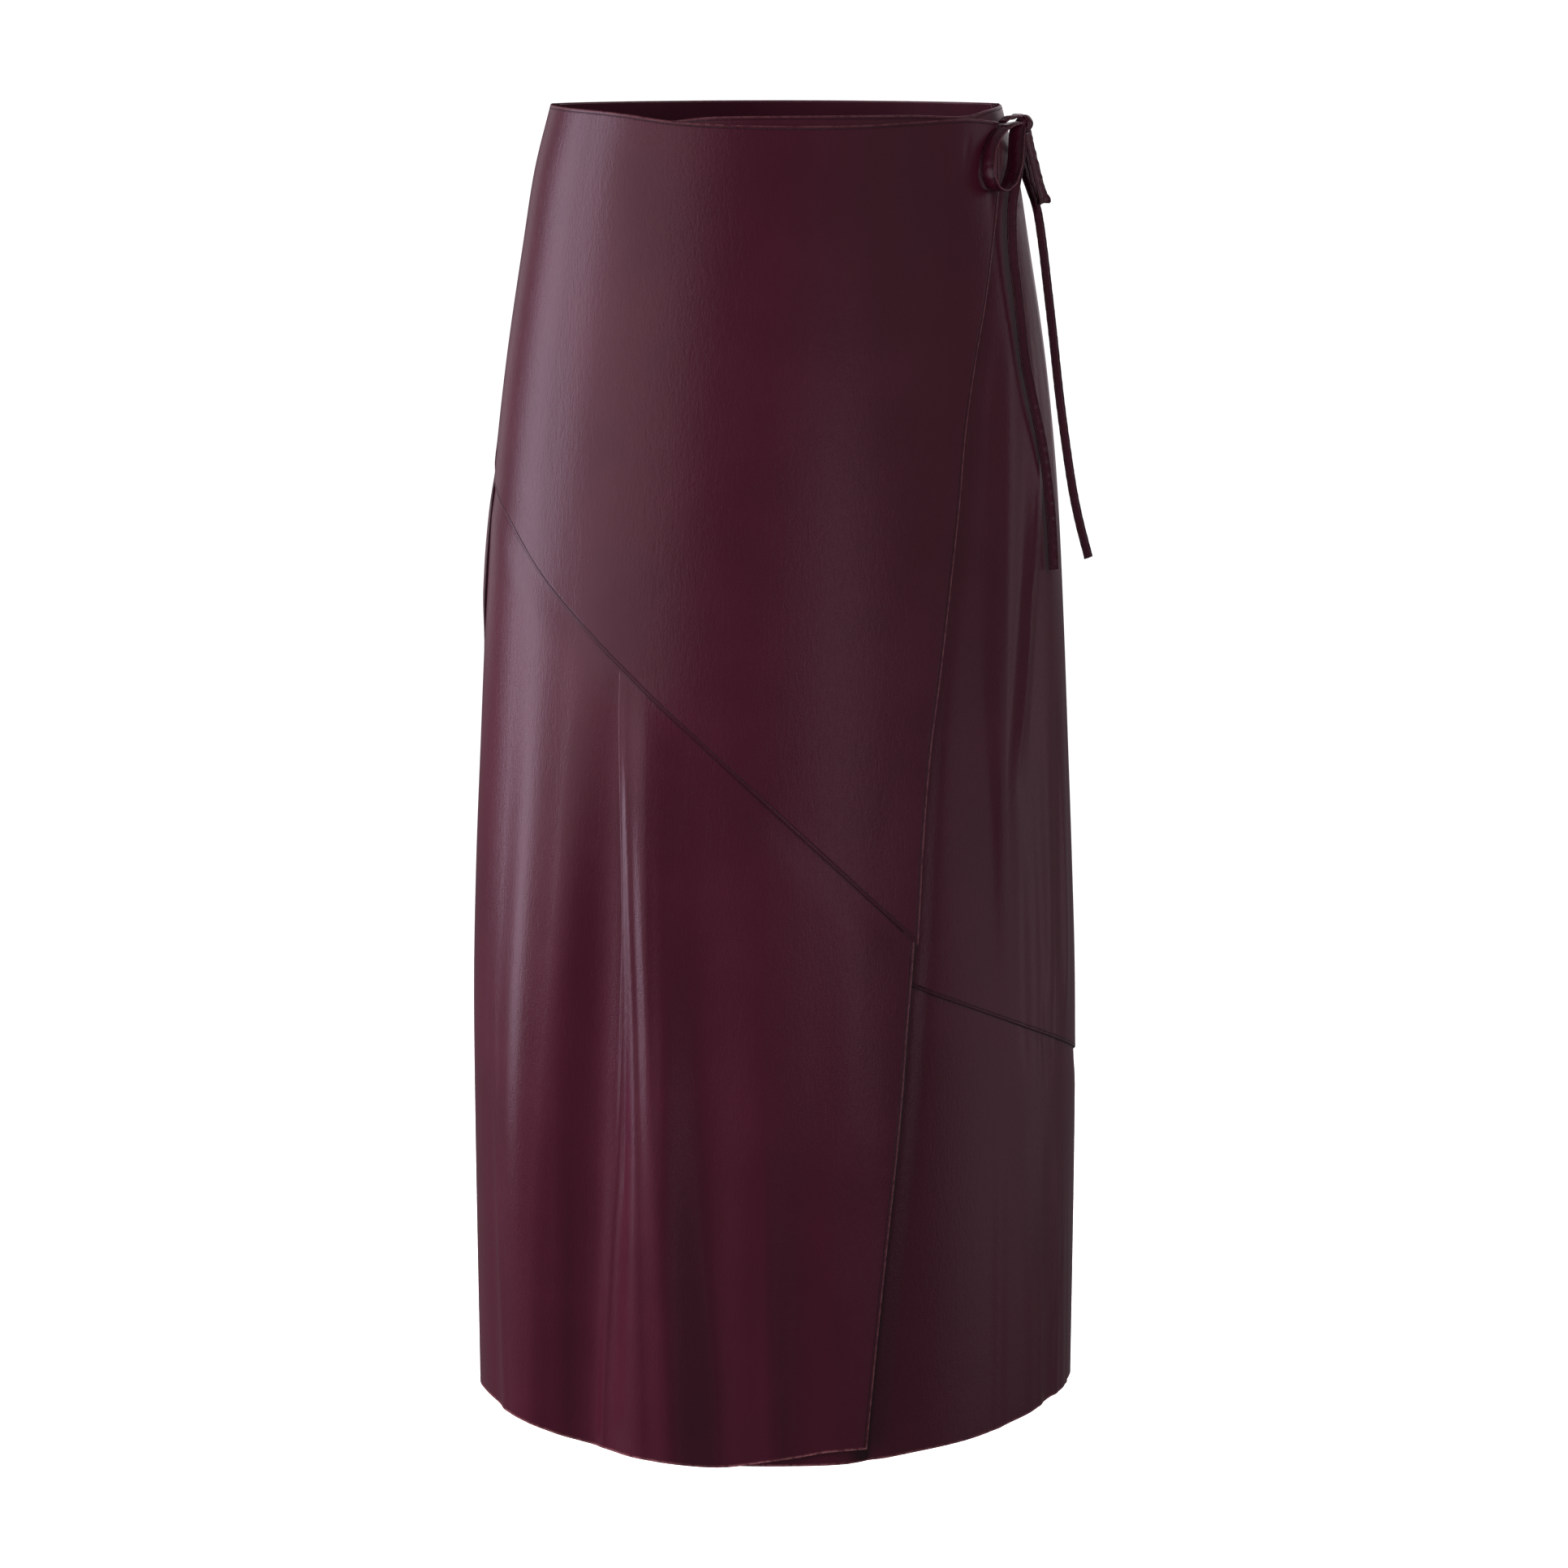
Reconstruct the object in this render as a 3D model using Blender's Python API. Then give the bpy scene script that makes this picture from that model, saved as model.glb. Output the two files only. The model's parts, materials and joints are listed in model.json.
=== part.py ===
"""A leather wrap skirt, worn and tied at the side.

The origin is the middle of the waist, at the height of the back's top edge, and +Z is up.
The front looks towards -Y.  Everything below is in metres; the tables are in millimetres
and degrees, and say so.

A place on the cloth is given by two numbers.  `drop` is how far it is below the waist.
`around` is the angle round the body: 0 at the wearer's right side (-X), 90 at the middle
of the front, 180 at the other side and 270 at the middle of the back.
"""

import math

import bmesh
import bpy
from mathutils import Matrix, Vector

MM = 0.001

# Driving dimensions, in millimetres.
LENGTH = 838.0          # waist to hem, middle front
WALL = 1.2              # the leather with its backing
SEAM_GAP = 0.7          # between two panels at a seam, measured straight down
TUCK_CLEAR = 0.4        # and this much more above the tuck, whose inner face comes up closer
SIDE_GAP = 0.8          # between a front and a back at a side seam
SPLIT_GAP = 0.4         # between the two solids of the upper back, which is one piece of leather
LAP = 2.8               # how far the overlap's face stands out from the underlap's
LAP_START = 38.0        # and from which angle to which it rises to that
LAP_FULL = 58.0
FACING_DEPTH = 35.0     # the strip turned inside the back waist
FACING_GAP = 0.8        # between that strip and the back
HEM_LEVELS = 0.4        # how much higher the hem is where a fold stands out
TUCK_RISE = 3.0         # the folded edge of the tuck, above the cloth beside it
EDGE_SETBACK = 2.0      # the lower panel's wrap edge stands back from the upper panel's
TAIL_WIDTH = 6.6        # the tie, folded and sewn flat
LOOP_WIDTH = 9.0        # it spreads in the loops of its bow
STRAP_THICK = 2.2
STRAP_PINCH = 0.55      # a loop's ends are this narrow, as a share, where the knot grips them
KNOT_SIZE = (10.0, 11.0, 11.5)
SHADE_SMOOTH_BELOW = math.radians(50)

# The worn form: half the width, how deep front and back stand from the side line, and
# how far it all leans to the -X side.
#   drop, half_width, front_depth, back_depth, lean
FORM = [
    (0, 140.0, 98.0, 98.0, 0.0),
    (40, 150.5, 106.0, 108.0, 0.0),
    (85, 158.3, 113.0, 121.0, 0.0),
    (150, 168.8, 121.0, 134.0, 0.0),
    (210, 176.3, 126.0, 141.0, 0.3),
    (260, 180.8, 129.0, 143.0, 0.7),
    (330, 185.2, 133.0, 143.0, 1.0),
    (400, 188.9, 136.0, 143.0, 1.2),
    (480, 193.0, 139.5, 144.0, 1.4),
    (560, 196.0, 143.0, 146.0, 1.2),
    (660, 197.0, 147.0, 149.0, 0.9),
    (840, 196.8, 151.0, 153.0, 0.8),
]

# Edges that run round the body.
#   around, drop
OVERLAP_TOP = [(0, 0.4), (7, 1.1), (39, 4.4), (52, 6.8), (63, 10.1), (75, 12.2), (91, 13.3),
               (110, 12.9), (125, 11.1), (144, 9.4), (159, 11.3), (168, 12.0)]
UNDERLAP_TOP = [(58, 12.0), (64, 10.6), (70, 8.9), (76, 8.0), (91, 7.6), (125, 7.2), (144, 7.8),
                (155, 4.6), (172, 1.5), (184, 0.6)]
BACK_TOP = [(184, 0.2), (270, -1.8), (360, 0.3)]
OVERLAP_SEAM = [(0, 226), (13.8, 242), (24.8, 258), (39, 288), (53, 319.5), (70, 364),
                (85, 407.5), (101, 457.5), (116, 505), (120, 517)]
UNDERLAP_SEAM = [(70, 462), (92, 497), (115.5, 534), (130, 554), (149, 578), (167, 597), (184, 612)]
BACK_SEAM = [(184, 612), (215, 562), (250, 482), (285, 398), (325, 310), (360, 226)]
OVERLAP_HEM = [(0, 836), (16, 830), (35, 831.5), (45, 835.5), (54, 836.2), (64, 837.6), (76, 839),
               (81, 838.2), (88, 834.5), (94, 831.5), (100, 828.5), (107, 827)]
UNDERLAP_HEM = [(70, 838.5), (92, 838), (104, 838), (116, 835), (130, 833), (142, 829.5),
                (150, 827.5), (158, 826), (168, 825.5), (176, 828), (184, 834)]
BACK_HEM = [(184, 834), (225, 838), (270, 840), (320, 838), (360, 836)]

# Edges that run down the body.
#   drop, around
SIDE_SEAM = [(0, 2), (100, 4), (185, 6), (240, 6.5), (290, 6.2), (350, 5), (450, 3.6), (560, 3), (840, 3)]
#   drop, across: how far to the +X side of the middle
WRAP_EDGE = [(0, 136.5), (12, 135), (55, 133.3), (116, 126.4), (156, 119.8), (196, 114.3),
             (242, 110.5), (342, 99.5), (389, 93.7), (446, 89.5), (505, 86.6), (553, 82.5),
             (612, 78.2), (762, 63.8), (840, 56.8)]
UNDERLAP_EDGE = [(0, -68), (60, -66), (300, -50), (840, -50)]
RIGHT_SEAM_AROUND = 184.0
BACK_SPLIT_AROUND = 325.0

# The tuck's folded edge, from the diagonal seam to the hem.
#   drop, around
TUCK_LINE = [(330, 60.0), (400, 60.7), (490, 61.1), (560, 60.8), (640, 59.4), (700, 57.8), (840, 54.6)]
#   drop, how wide its steep side is, how far it dies away on the other side, its share of the rise
TUCK_SHAPE = [(320, 1.6, 50, 0.0), (338, 1.6, 50, 0.0), (366, 1.6, 48, 0.6), (390, 1.6, 45, 0.85),
              (430, 2.0, 40, 0.9), (500, 3, 34, 0.8), (570, 4.5, 30, 0.5), (640, 5, 26, 0.15),
              (700, 5, 26, 0.0), (840, 5, 26, 0.0)]

# Single soft folds.  Each runs from one place on the cloth to another and grows from nothing;
# one that ends above the hem dies away again.  A negative rise is a trough.
#   drop and around at its head, drop and around at its foot, half width, rise
FOLDS = [
    # the overlap
    (430, 31, 840, 33, 30, 2.5),
    (430, 107, 700, 106, 34, 1.8),
    # the underlap
    (340, 156, 600, 152, 12, 1.8),
    (330, 166, 600, 162, 12, 1.8),
    (640, 160, 840, 162, 16, 1.6),
    (620, 143, 840, 146, 18, 1.8),
    (610, 153, 840, 154, 12, -1.4),
    # the back, the first of them beside its side seam
    (205, 362, 345, 363, 20, 2.4),
    (470, 213, 840, 211, 26, 4.5),
    (520, 238, 840, 240, 30, -4.5),
    (420, 264, 840, 267, 30, 5.0),
    (470, 291, 840, 295, 30, -5.0),
    (400, 318, 840, 322, 28, 4.0),
    (560, 343, 840, 344, 24, -3.0),
]

# Reliefs: the pleat that the tuck lets go, and the drag lines from the bow down the
# underlap.  Each is a set of ridges and hollows, from left to right, and the cloth runs
# smoothly from each line to the next.
#   drop, around, height
PLEAT_LINES = [
    [(340, 22, 0), (840, 22, 0)],
    [(340, 49, 0), (376, 48, 0), (409, 47, 0.3), (484, 45.8, 0.6), (577, 43.2, 0.9), (690, 39.3, 1.2),
     (790, 37.6, 1.5), (840, 37, 1.5)],
    [(340, 59, 0), (376, 58.2, -1.5), (427, 57.7, -3.5), (477, 57.2, -5.5), (554, 56.2, -8),
     (633, 54.8, -9.5), (712, 53.4, -10.5), (793, 51.9, -11), (840, 51.3, -11)],
    [(340, 60.2, 0), (376, 60.4, -1.2), (427, 60.7, -3), (477, 60.8, -4.6), (554, 60.6, -6.6),
     (633, 59.3, -8.2), (712, 57.2, -8.8), (793, 55.2, -9), (840, 54.4, -9)],
    [(340, 61.5, 0), (376, 61.8, -0.8), (427, 62.3, -1.6), (477, 63, -2.4), (554, 64, -3),
     (633, 64.6, -1.2), (712, 65, 0.6), (793, 65.6, 1.2), (840, 66, 1.2)],
    [(340, 66, 0), (400, 66.2, 0.6), (475, 66.6, 0.8), (551, 67.2, 1), (628, 68, 1.6),
     (706, 69, 2.2), (785, 70, 2.6), (840, 70.6, 2.8)],
    [(340, 78, 0), (473, 77.5, -1.2), (549, 77.3, -2.6), (626, 77.6, -4), (703, 78.3, -5.6),
     (782, 79.6, -6.8), (840, 80.4, -7.2)],
    [(340, 90, 0), (560, 89, -0.4), (677, 89.5, -0.8), (790, 91, -1), (840, 92, -1.2)],
    [(340, 106, 0), (840, 106, 0)],
]
PLEAT_DEPTH = 1.55
DRAG_LINES = [
    [(110, 131, 0), (220, 124, 0), (400, 121, 0), (580, 120, 0)],
    [(110, 143, 0), (142, 141.9, -0.7), (210, 137.5, -1.9), (279, 135.1, -2.5), (354, 133.5, -2.7),
     (430, 134.8, -2.2), (507, 134.7, -1), (580, 135, 0)],
    [(110, 150, 0), (143, 148.5, 0.3), (231, 143.4, 0.8), (305, 141, 0.8), (400, 139, 0.5),
     (507, 138.5, 0.2), (580, 139, 0)],
    [(110, 155, 0), (222, 150, -0.5), (293, 146.6, -0.8), (371, 142.2, -0.4), (412, 140.4, 0),
     (580, 141, 0)],
    [(110, 160, 0), (222, 156.5, 0.8), (259, 153.7, 1.4), (293, 150.5, 1.7), (333, 147.8, 1.8),
     (371, 144.9, 1.6), (412, 141.8, 1), (470, 142.5, 0.3), (580, 144, 0)],
    [(110, 163, 0), (222, 160, -0.2), (293, 154.5, -0.9), (371, 149.5, -1), (440, 148, -0.4),
     (580, 150, 0)],
    [(110, 172, 0), (293, 163, 0), (440, 158, 0), (580, 160, 0)],
]

# The ties' routes, in millimetres: x to the +X side, y to the back, z up, then the
# direction that the strap's width lies in, in degrees from +X towards the back.
TIE_ROUTES = {
    "tie_root_front": [(138.8, -39.6, -11.4, -40), (143.4, -33, -8.4, -40), (149.2, -26, -8.2, -40)],
    "tie_root_side": [(147.2, 7, -9.5, 40), (150.4, -2, -7.4, 35), (152.5, -15.4, -9, 20)],
    "tie_loop_front": [
        (148.8, -27.2, -12, -35), (142, -40, -13.6, -35), (135.5, -51, -18, -35),
        (130.7, -60, -25.7, -35), (128.7, -66, -35.3, -35), (128.9, -68.8, -43, -35),
        (132, -68, -49.9, -35), (137, -62.4, -52, -35), (142.2, -54.4, -48.3, -35),
        (145.8, -46, -40.6, -35), (148.1, -38.5, -32.4, -35), (150, -28, -18.8, -35),
    ],
    "tie_loop_rear": [
        (155.6, -20.2, -18.4, 57), (157.6, -18.8, -27, 57), (160.4, -16.5, -37, 57),
        (163.2, -13, -47, 57), (166, -8.5, -56, 57), (167.5, -3, -60.4, 57),
        (165.8, 1.2, -58.2, 57), (162.4, 1.4, -50, 57), (160, -0.8, -41, 57),
        (158, -5, -31, 57), (155.4, -15.4, -17.4, 57),
    ],
    "tie_tail_inner": [
        (151.5, -23.6, -19.4, 30), (151, -28, -30, 30), (148.2, -38, -44, 30),
        (145, -48.5, -60, 30), (144.4, -55, -78, 30), (145.4, -57.4, -94, 30),
        (147.8, -58.8, -112, 30), (150.4, -59.5, -133, 30), (153.4, -59.5, -156, 28),
        (158.6, -57, -180, 26), (164.6, -53, -206, 24), (168.6, -50, -230, 24),
        (171.6, -48.5, -256, 24), (173.5, -48.8, -286, 24),
    ],
    "tie_tail_outer": [
        (151.8, -18.4, -18.8, 40), (152.6, -8, -28, 38), (154.4, 3, -38, 36),
        (159.4, 9.4, -52, 34), (164, 7, -66, 32), (167, 0, -86, 32), (170.2, -4, -112, 32),
        (174, -5, -142, 32), (178.4, -5, -178, 32), (182.7, -5, -208, 32),
        (187.8, -5, -239, 32), (192.3, -5, -259.8, 32), (197.2, -5, -278, 32),
        (198.9, -5, -284.2, 32),
    ],
}
KNOT_PLACE = (152.8, -22.0, -12.8)
ROUTE_STEPS = 3         # stations between two points of a route
PINCH_STATIONS = 5      # a strap is back at its full width this many stations from the knot
SECTION_SQUARENESS = 1.08
WAIST_CROWD = 1.5       # above 1, a panel's rows stand closer together at its top edge
SETTLE_ROUNDS = 16      # to find the drop and the angle of a point, which depend on each other
FOLD_GROWS = 0.6        # a fold has its full rise this share of its length from its head
FOLD_DIES = 0.3         # and one that ends above the hem loses it over this share


# --- Reading the tables -------------------------------------------------------------

def read(rows, column, at):
    """One column of a table at a place between its rows, on a smooth curve through them."""
    places = [row[0] for row in rows]
    values = [row[column] for row in rows]
    last = len(rows) - 1
    slopes = []
    for i in range(last + 1):
        low, high = max(i - 1, 0), min(i + 1, last)
        slopes.append((values[high] - values[low]) / (places[high] - places[low]))
    if at <= places[0]:
        return values[0] + slopes[0] * (at - places[0])
    if at >= places[last]:
        return values[last] + slopes[last] * (at - places[last])
    i = max(k for k in range(last) if places[k] <= at)
    step = places[i + 1] - places[i]
    t = (at - places[i]) / step
    return ((2 * t**3 - 3 * t**2 + 1) * values[i] + (t**3 - 2 * t**2 + t) * step * slopes[i]
            + (3 * t**2 - 2 * t**3) * values[i + 1] + (t**3 - t**2) * step * slopes[i + 1])


def ease(t):
    """Rises smoothly from 0 to 1 as t does."""
    t = min(max(t, 0.0), 1.0)
    return t * t * (3 - 2 * t)


# --- The worn form ------------------------------------------------------------------

def form_sizes(around, drop):
    """Half the width and the depth of the worn form on this side of it."""
    front = math.sin(math.radians(around)) >= 0
    return read(FORM, 1, drop), read(FORM, 2 if front else 3, drop)


def around_at(across, drop):
    """The angle at which the front is this far to the +X side of the origin."""
    return math.degrees(math.acos(-(across + read(FORM, 4, drop)) / read(FORM, 1, drop)))


def arc_per_degree(around, drop):
    """Millimetres of cloth for one degree round the body, here."""
    width, depth = form_sizes(around, drop)
    angle = math.radians(around)
    return math.radians(math.hypot(width * math.sin(angle), depth * math.cos(angle)))


def relief(lines, around, drop):
    """The height of a relief, between the two of its lines that lie beside this place."""
    begins, ends = lines[0][0][0], lines[0][-1][0]
    if drop < begins:
        return 0.0
    drop = min(drop, ends)
    if not read(lines[0], 1, drop) < around < read(lines[-1], 1, drop):
        return 0.0
    for line, beyond in zip(lines, lines[1:]):
        left, right = read(line, 1, drop), read(beyond, 1, drop)
        if left <= around < right:
            low, high = read(line, 2, drop), read(beyond, 2, drop)
            return low + (high - low) * ease((around - left) / (right - left))
    return 0.0


def fold_rise(around, drop):
    """How far the reliefs and the soft folds lift the cloth here."""
    total = PLEAT_DEPTH * relief(PLEAT_LINES, around, drop) + relief(DRAG_LINES, around, drop)
    for head_drop, head_around, foot_drop, foot_around, half_width, rise in FOLDS:
        along = (drop - head_drop) / (foot_drop - head_drop)
        if not 0 < along <= 1.05:
            continue
        middle = head_around + (foot_around - head_around) * along
        aside = abs(around - middle) * arc_per_degree(around, drop) / half_width
        if aside >= 1:
            continue
        strength = ease(along / FOLD_GROWS)
        if foot_drop < LENGTH:
            strength *= ease((1 - along) / FOLD_DIES)
        total += rise * strength * (0.5 + 0.5 * math.cos(math.pi * aside))
    return total


def tuck_rise(around, drop):
    """The tuck in the lower overlap: a steep folded edge that dies away to the +X side."""
    steep, fade, share = (read(TUCK_SHAPE, column, drop) for column in (1, 2, 3))
    aside = (around - read(TUCK_LINE, 1, drop)) * arc_per_degree(around, drop)
    if aside < 0:
        return TUCK_RISE * share * ease(1 + aside / steep)
    return TUCK_RISE * share * (1 - ease(aside / fade))


def lap_rise(around, drop):
    """How far the overlap stands out, to leave room for the underlap beneath it."""
    return LAP * ease((around - LAP_START) / (LAP_FULL - LAP_START))


def place(around, drop, out):
    """A point on the cloth, `out` beyond the worn form and its folds."""
    width, depth = form_sizes(around, drop)
    angle = math.radians(around)
    across = -width * math.cos(angle) - read(FORM, 4, drop)
    point = Vector((across, -depth * math.sin(angle), -drop))
    outward = Vector((-math.cos(angle) / width, -math.sin(angle) / depth, 0)).normalized()
    return (point + outward * (out + fold_rise(around, drop))) * MM


# --- Making objects -----------------------------------------------------------------

def clear_scene():
    for old in list(bpy.data.objects):
        bpy.data.objects.remove(old, do_unlink=True)


def leather(name, colour, roughness):
    material = bpy.data.materials.new(name)
    material.use_nodes = True
    shader = material.node_tree.nodes["Principled BSDF"]
    shader.inputs["Base Color"].default_value = (*colour, 1)
    shader.inputs["Roughness"].default_value = roughness
    shader.inputs["Metallic"].default_value = 0.0
    return material


def make_object(name, shape, material):
    """Turns a bmesh into a smooth-shaded object."""
    mesh = bpy.data.meshes.new(name)
    shape.to_mesh(mesh)
    shape.free()
    mesh.shade_smooth()
    mesh.set_sharp_from_angle(angle=SHADE_SMOOTH_BELOW)
    mesh.materials.append(material)
    piece = bpy.data.objects.new(name, mesh)
    bpy.context.scene.collection.objects.link(piece)
    return piece


def panel(name, guides, top, bottom, rows, out, material, crowd=1.0):
    """A wall of cloth, cut along `top` and `bottom` and between its first and last guide.

    A guide is a line down the cloth that the columns follow, with the number of columns
    from it to the next: (around at a drop, columns).  `top` and `bottom` give the drop at
    an angle, and `out` how far the outer face stands from the worn form.  `crowd` above 1
    sets the rows closer together near the top.
    """
    columns = sum(count for _, count in guides)

    def around_of(column, drop):
        for (here, count), (beyond, _) in zip(guides, guides[1:]):
            if column <= count:
                return here(drop) + (beyond(drop) - here(drop)) * column / count
            column -= count
        return guides[-1][0](drop)

    shape = bmesh.new()
    bmesh.ops.create_grid(shape, x_segments=columns, y_segments=rows, size=1)
    for vertex in shape.verts:
        column = round((vertex.co.x + 1) / 2 * columns, 6)
        down = ((1 - vertex.co.y) / 2) ** crowd
        drop = down * LENGTH
        for _ in range(SETTLE_ROUNDS):
            around = around_of(column, drop)
            drop = top(around) + (bottom(around) - top(around)) * down
        vertex.co = place(around, drop, out(around, drop))
    piece = make_object(name, shape, material)
    wall = piece.modifiers.new("wall", "SOLIDIFY")
    wall.thickness = WALL * MM
    wall.offset = -1
    wall.use_even_offset = True
    wall.use_quality_normals = True
    return piece


def strap_frames(route, width, narrow_ends):
    """Frames along a route: each holds the strap's width, thickness and direction."""
    count = (len(route) - 1) * ROUTE_STEPS
    rows = [(i, *row) for i, row in enumerate(route)]
    stations = [i / ROUTE_STEPS for i in range(count + 1)]
    points = [Vector([read(rows, column, at) for column in (1, 2, 3)]) * MM for at in stations]
    frames = []
    for i, at in enumerate(stations):
        ahead = (points[min(i + 1, count)] - points[max(i - 1, 0)]).normalized()
        turn = math.radians(read(rows, 4, at))
        wide = Vector((math.cos(turn), math.sin(turn), 0))
        wide = (wide - ahead * wide.dot(ahead)).normalized()
        flat = ahead.cross(wide)
        away = count
        if 0 in narrow_ends:
            away = min(away, i)
        if 1 in narrow_ends:
            away = min(away, count - i)
        pinch = STRAP_PINCH + (1 - STRAP_PINCH) * ease(away / PINCH_STATIONS)
        across = wide * width / 2 * MM * pinch
        through = flat * STRAP_THICK / 2 * MM
        frame = Matrix((across, through, ahead)).transposed().to_4x4()
        frame.translation = points[i]
        frames.append(frame)
    return frames


def strap(name, route, width, material, narrow_ends):
    """A folded strap: a flat eight-sided section, extruded from station to station."""
    frames = strap_frames(route, width, narrow_ends)
    shape = bmesh.new()
    bmesh.ops.create_circle(shape, segments=8, radius=1, cap_ends=True)
    for vertex in shape.verts:
        vertex.co.x = math.copysign(min(abs(vertex.co.x) * SECTION_SQUARENESS, 1.0), vertex.co.x)
    bmesh.ops.transform(shape, matrix=frames[0], verts=shape.verts)
    end = shape.edges[:]
    for here, beyond in zip(frames, frames[1:]):
        grown = bmesh.ops.extrude_edge_only(shape, edges=end)["geom"]
        moved = [item for item in grown if isinstance(item, bmesh.types.BMVert)]
        end = [item for item in grown if isinstance(item, bmesh.types.BMEdge)]
        bmesh.ops.transform(shape, matrix=beyond @ here.inverted(), verts=moved)
    bmesh.ops.holes_fill(shape, edges=end)
    bmesh.ops.recalc_face_normals(shape, faces=shape.faces)
    return make_object(name, shape, material)


# --- The skirt ----------------------------------------------------------------------

def side_seam(drop):
    return read(SIDE_SEAM, 1, drop)


def right_seam(drop):
    return RIGHT_SEAM_AROUND


def back_split(drop):
    return BACK_SPLIT_AROUND


def wrap_edge(drop):
    return around_at(read(WRAP_EDGE, 1, drop), drop)


def wrap_edge_lower(drop):
    return around_at(read(WRAP_EDGE, 1, drop) - EDGE_SETBACK, drop)


def underlap_edge(drop):
    return around_at(read(UNDERLAP_EDGE, 1, drop), drop)


def tuck_side(aside):
    """A guide that runs beside the tuck's folded edge, this many millimetres from it."""
    def guide(drop):
        middle = read(TUCK_LINE, 1, drop)
        return middle + aside * read(TUCK_SHAPE, 1, drop) / arc_per_degree(middle, drop)
    return guide


def shifted(guide, degrees=0.0, gap=0.0):
    """The same guide, turned by some degrees and by a gap in millimetres of cloth."""
    return lambda drop: guide(drop) + degrees + gap / arc_per_degree(guide(drop), drop)


def edge(rows, lower=0.0):
    """An edge that runs round the body, as a function of the angle."""
    return lambda around: read(rows, 1, around) + lower


def hem(rows):
    """A hem that hangs level where folds push the cloth out or in."""
    levelled = []
    around = rows[0][0]
    while around <= rows[-1][0]:
        low = read(rows, 1, around)
        width, depth = form_sizes(around, low)
        angle = math.radians(around)
        to_front = -Vector((-math.cos(angle) / width, -math.sin(angle) / depth)).normalized().y
        levelled.append((around, low - HEM_LEVELS * fold_rise(around, low) * max(to_front, 0)))
        around += 1.5
    return edge(levelled)


def on_the_form(around, drop):
    return 0.0


def build_overlap(material):
    half = SEAM_GAP / 2
    side = shifted(side_seam, gap=SIDE_GAP / 2)
    panel("overlap_upper", [(side, 34), (wrap_edge, 0)],
          edge(OVERLAP_TOP), edge(OVERLAP_SEAM, -half), 13, lap_rise, material, WAIST_CROWD)

    def lower_out(around, drop):
        return lap_rise(around, drop) + tuck_rise(around, drop)

    guides = [(side, 19), (tuck_side(-1.0), 1), (tuck_side(-0.5), 1), (tuck_side(0.0), 1),
              (tuck_side(1.0), 28), (wrap_edge_lower, 0)]
    panel("overlap_lower", guides, edge(OVERLAP_SEAM, half + TUCK_CLEAR), hem(OVERLAP_HEM), 15,
          lower_out, material)


def build_underlap(material):
    half = SEAM_GAP / 2
    side = shifted(right_seam, gap=-SIDE_GAP / 2)
    panel("underlap_upper", [(underlap_edge, 40), (side, 0)],
          edge(UNDERLAP_TOP), edge(UNDERLAP_SEAM, -half), 13, on_the_form, material, WAIST_CROWD)
    panel("underlap_lower", [(underlap_edge, 34), (side, 0)],
          edge(UNDERLAP_SEAM, half), hem(UNDERLAP_HEM), 9, on_the_form, material)


def build_back(material, facing_material):
    half = SEAM_GAP / 2
    start = shifted(right_seam, gap=SIDE_GAP / 2)
    finish = shifted(side_seam, degrees=360, gap=-SIDE_GAP / 2)
    panel("back_upper", [(start, 25), (shifted(back_split, gap=-SPLIT_GAP / 2), 0)],
          edge(BACK_TOP), edge(BACK_SEAM, -half), 12, on_the_form, material, WAIST_CROWD)
    panel("back_upper_side", [(shifted(back_split, gap=SPLIT_GAP / 2), 7), (finish, 0)],
          edge(BACK_TOP), edge(BACK_SEAM, -half), 12, on_the_form, material, WAIST_CROWD)
    panel("back_lower", [(start, 40), (finish, 0)],
          edge(BACK_SEAM, half), edge(BACK_HEM), 12, on_the_form, material)
    inside = -(WALL + FACING_GAP)
    panel("back_facing", [(shifted(start, gap=2), 32), (shifted(finish, gap=-2), 0)],
          edge(BACK_TOP, 0.3), edge(BACK_TOP, FACING_DEPTH), 3, lambda around, drop: inside,
          facing_material)


def build_bow(material):
    shape = bmesh.new()
    bmesh.ops.create_uvsphere(shape, u_segments=16, v_segments=10, radius=0.5)
    bmesh.ops.scale(shape, vec=Vector(KNOT_SIZE) * MM, verts=shape.verts)
    bmesh.ops.translate(shape, vec=Vector(KNOT_PLACE) * MM, verts=shape.verts)
    make_object("tie_knot", shape, material)
    for name, route in TIE_ROUTES.items():
        if "loop" in name:
            strap(name, route, LOOP_WIDTH, material, narrow_ends=(0, 1))
        else:
            strap(name, route, TAIL_WIDTH, material, narrow_ends=(0,))


def main():
    clear_scene()
    outer = leather("oxblood_leather", (0.045, 0.011, 0.018), 0.38)
    inner = leather("facing_leather", (0.060, 0.016, 0.025), 0.5)
    build_overlap(outer)
    build_underlap(outer)
    build_back(outer, inner)
    build_bow(outer)


main()
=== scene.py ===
# %% [markdown]
# # A leather wrap skirt
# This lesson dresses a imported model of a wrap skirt: thin coated leather, worn and tied at
# the side.  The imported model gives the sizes.  Each cell below makes one piece or one
# finish, and says why it is made that way.

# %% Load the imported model
import json
import math

import bmesh
import bpy
import numpy as np
from mathutils import Matrix, Vector

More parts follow.
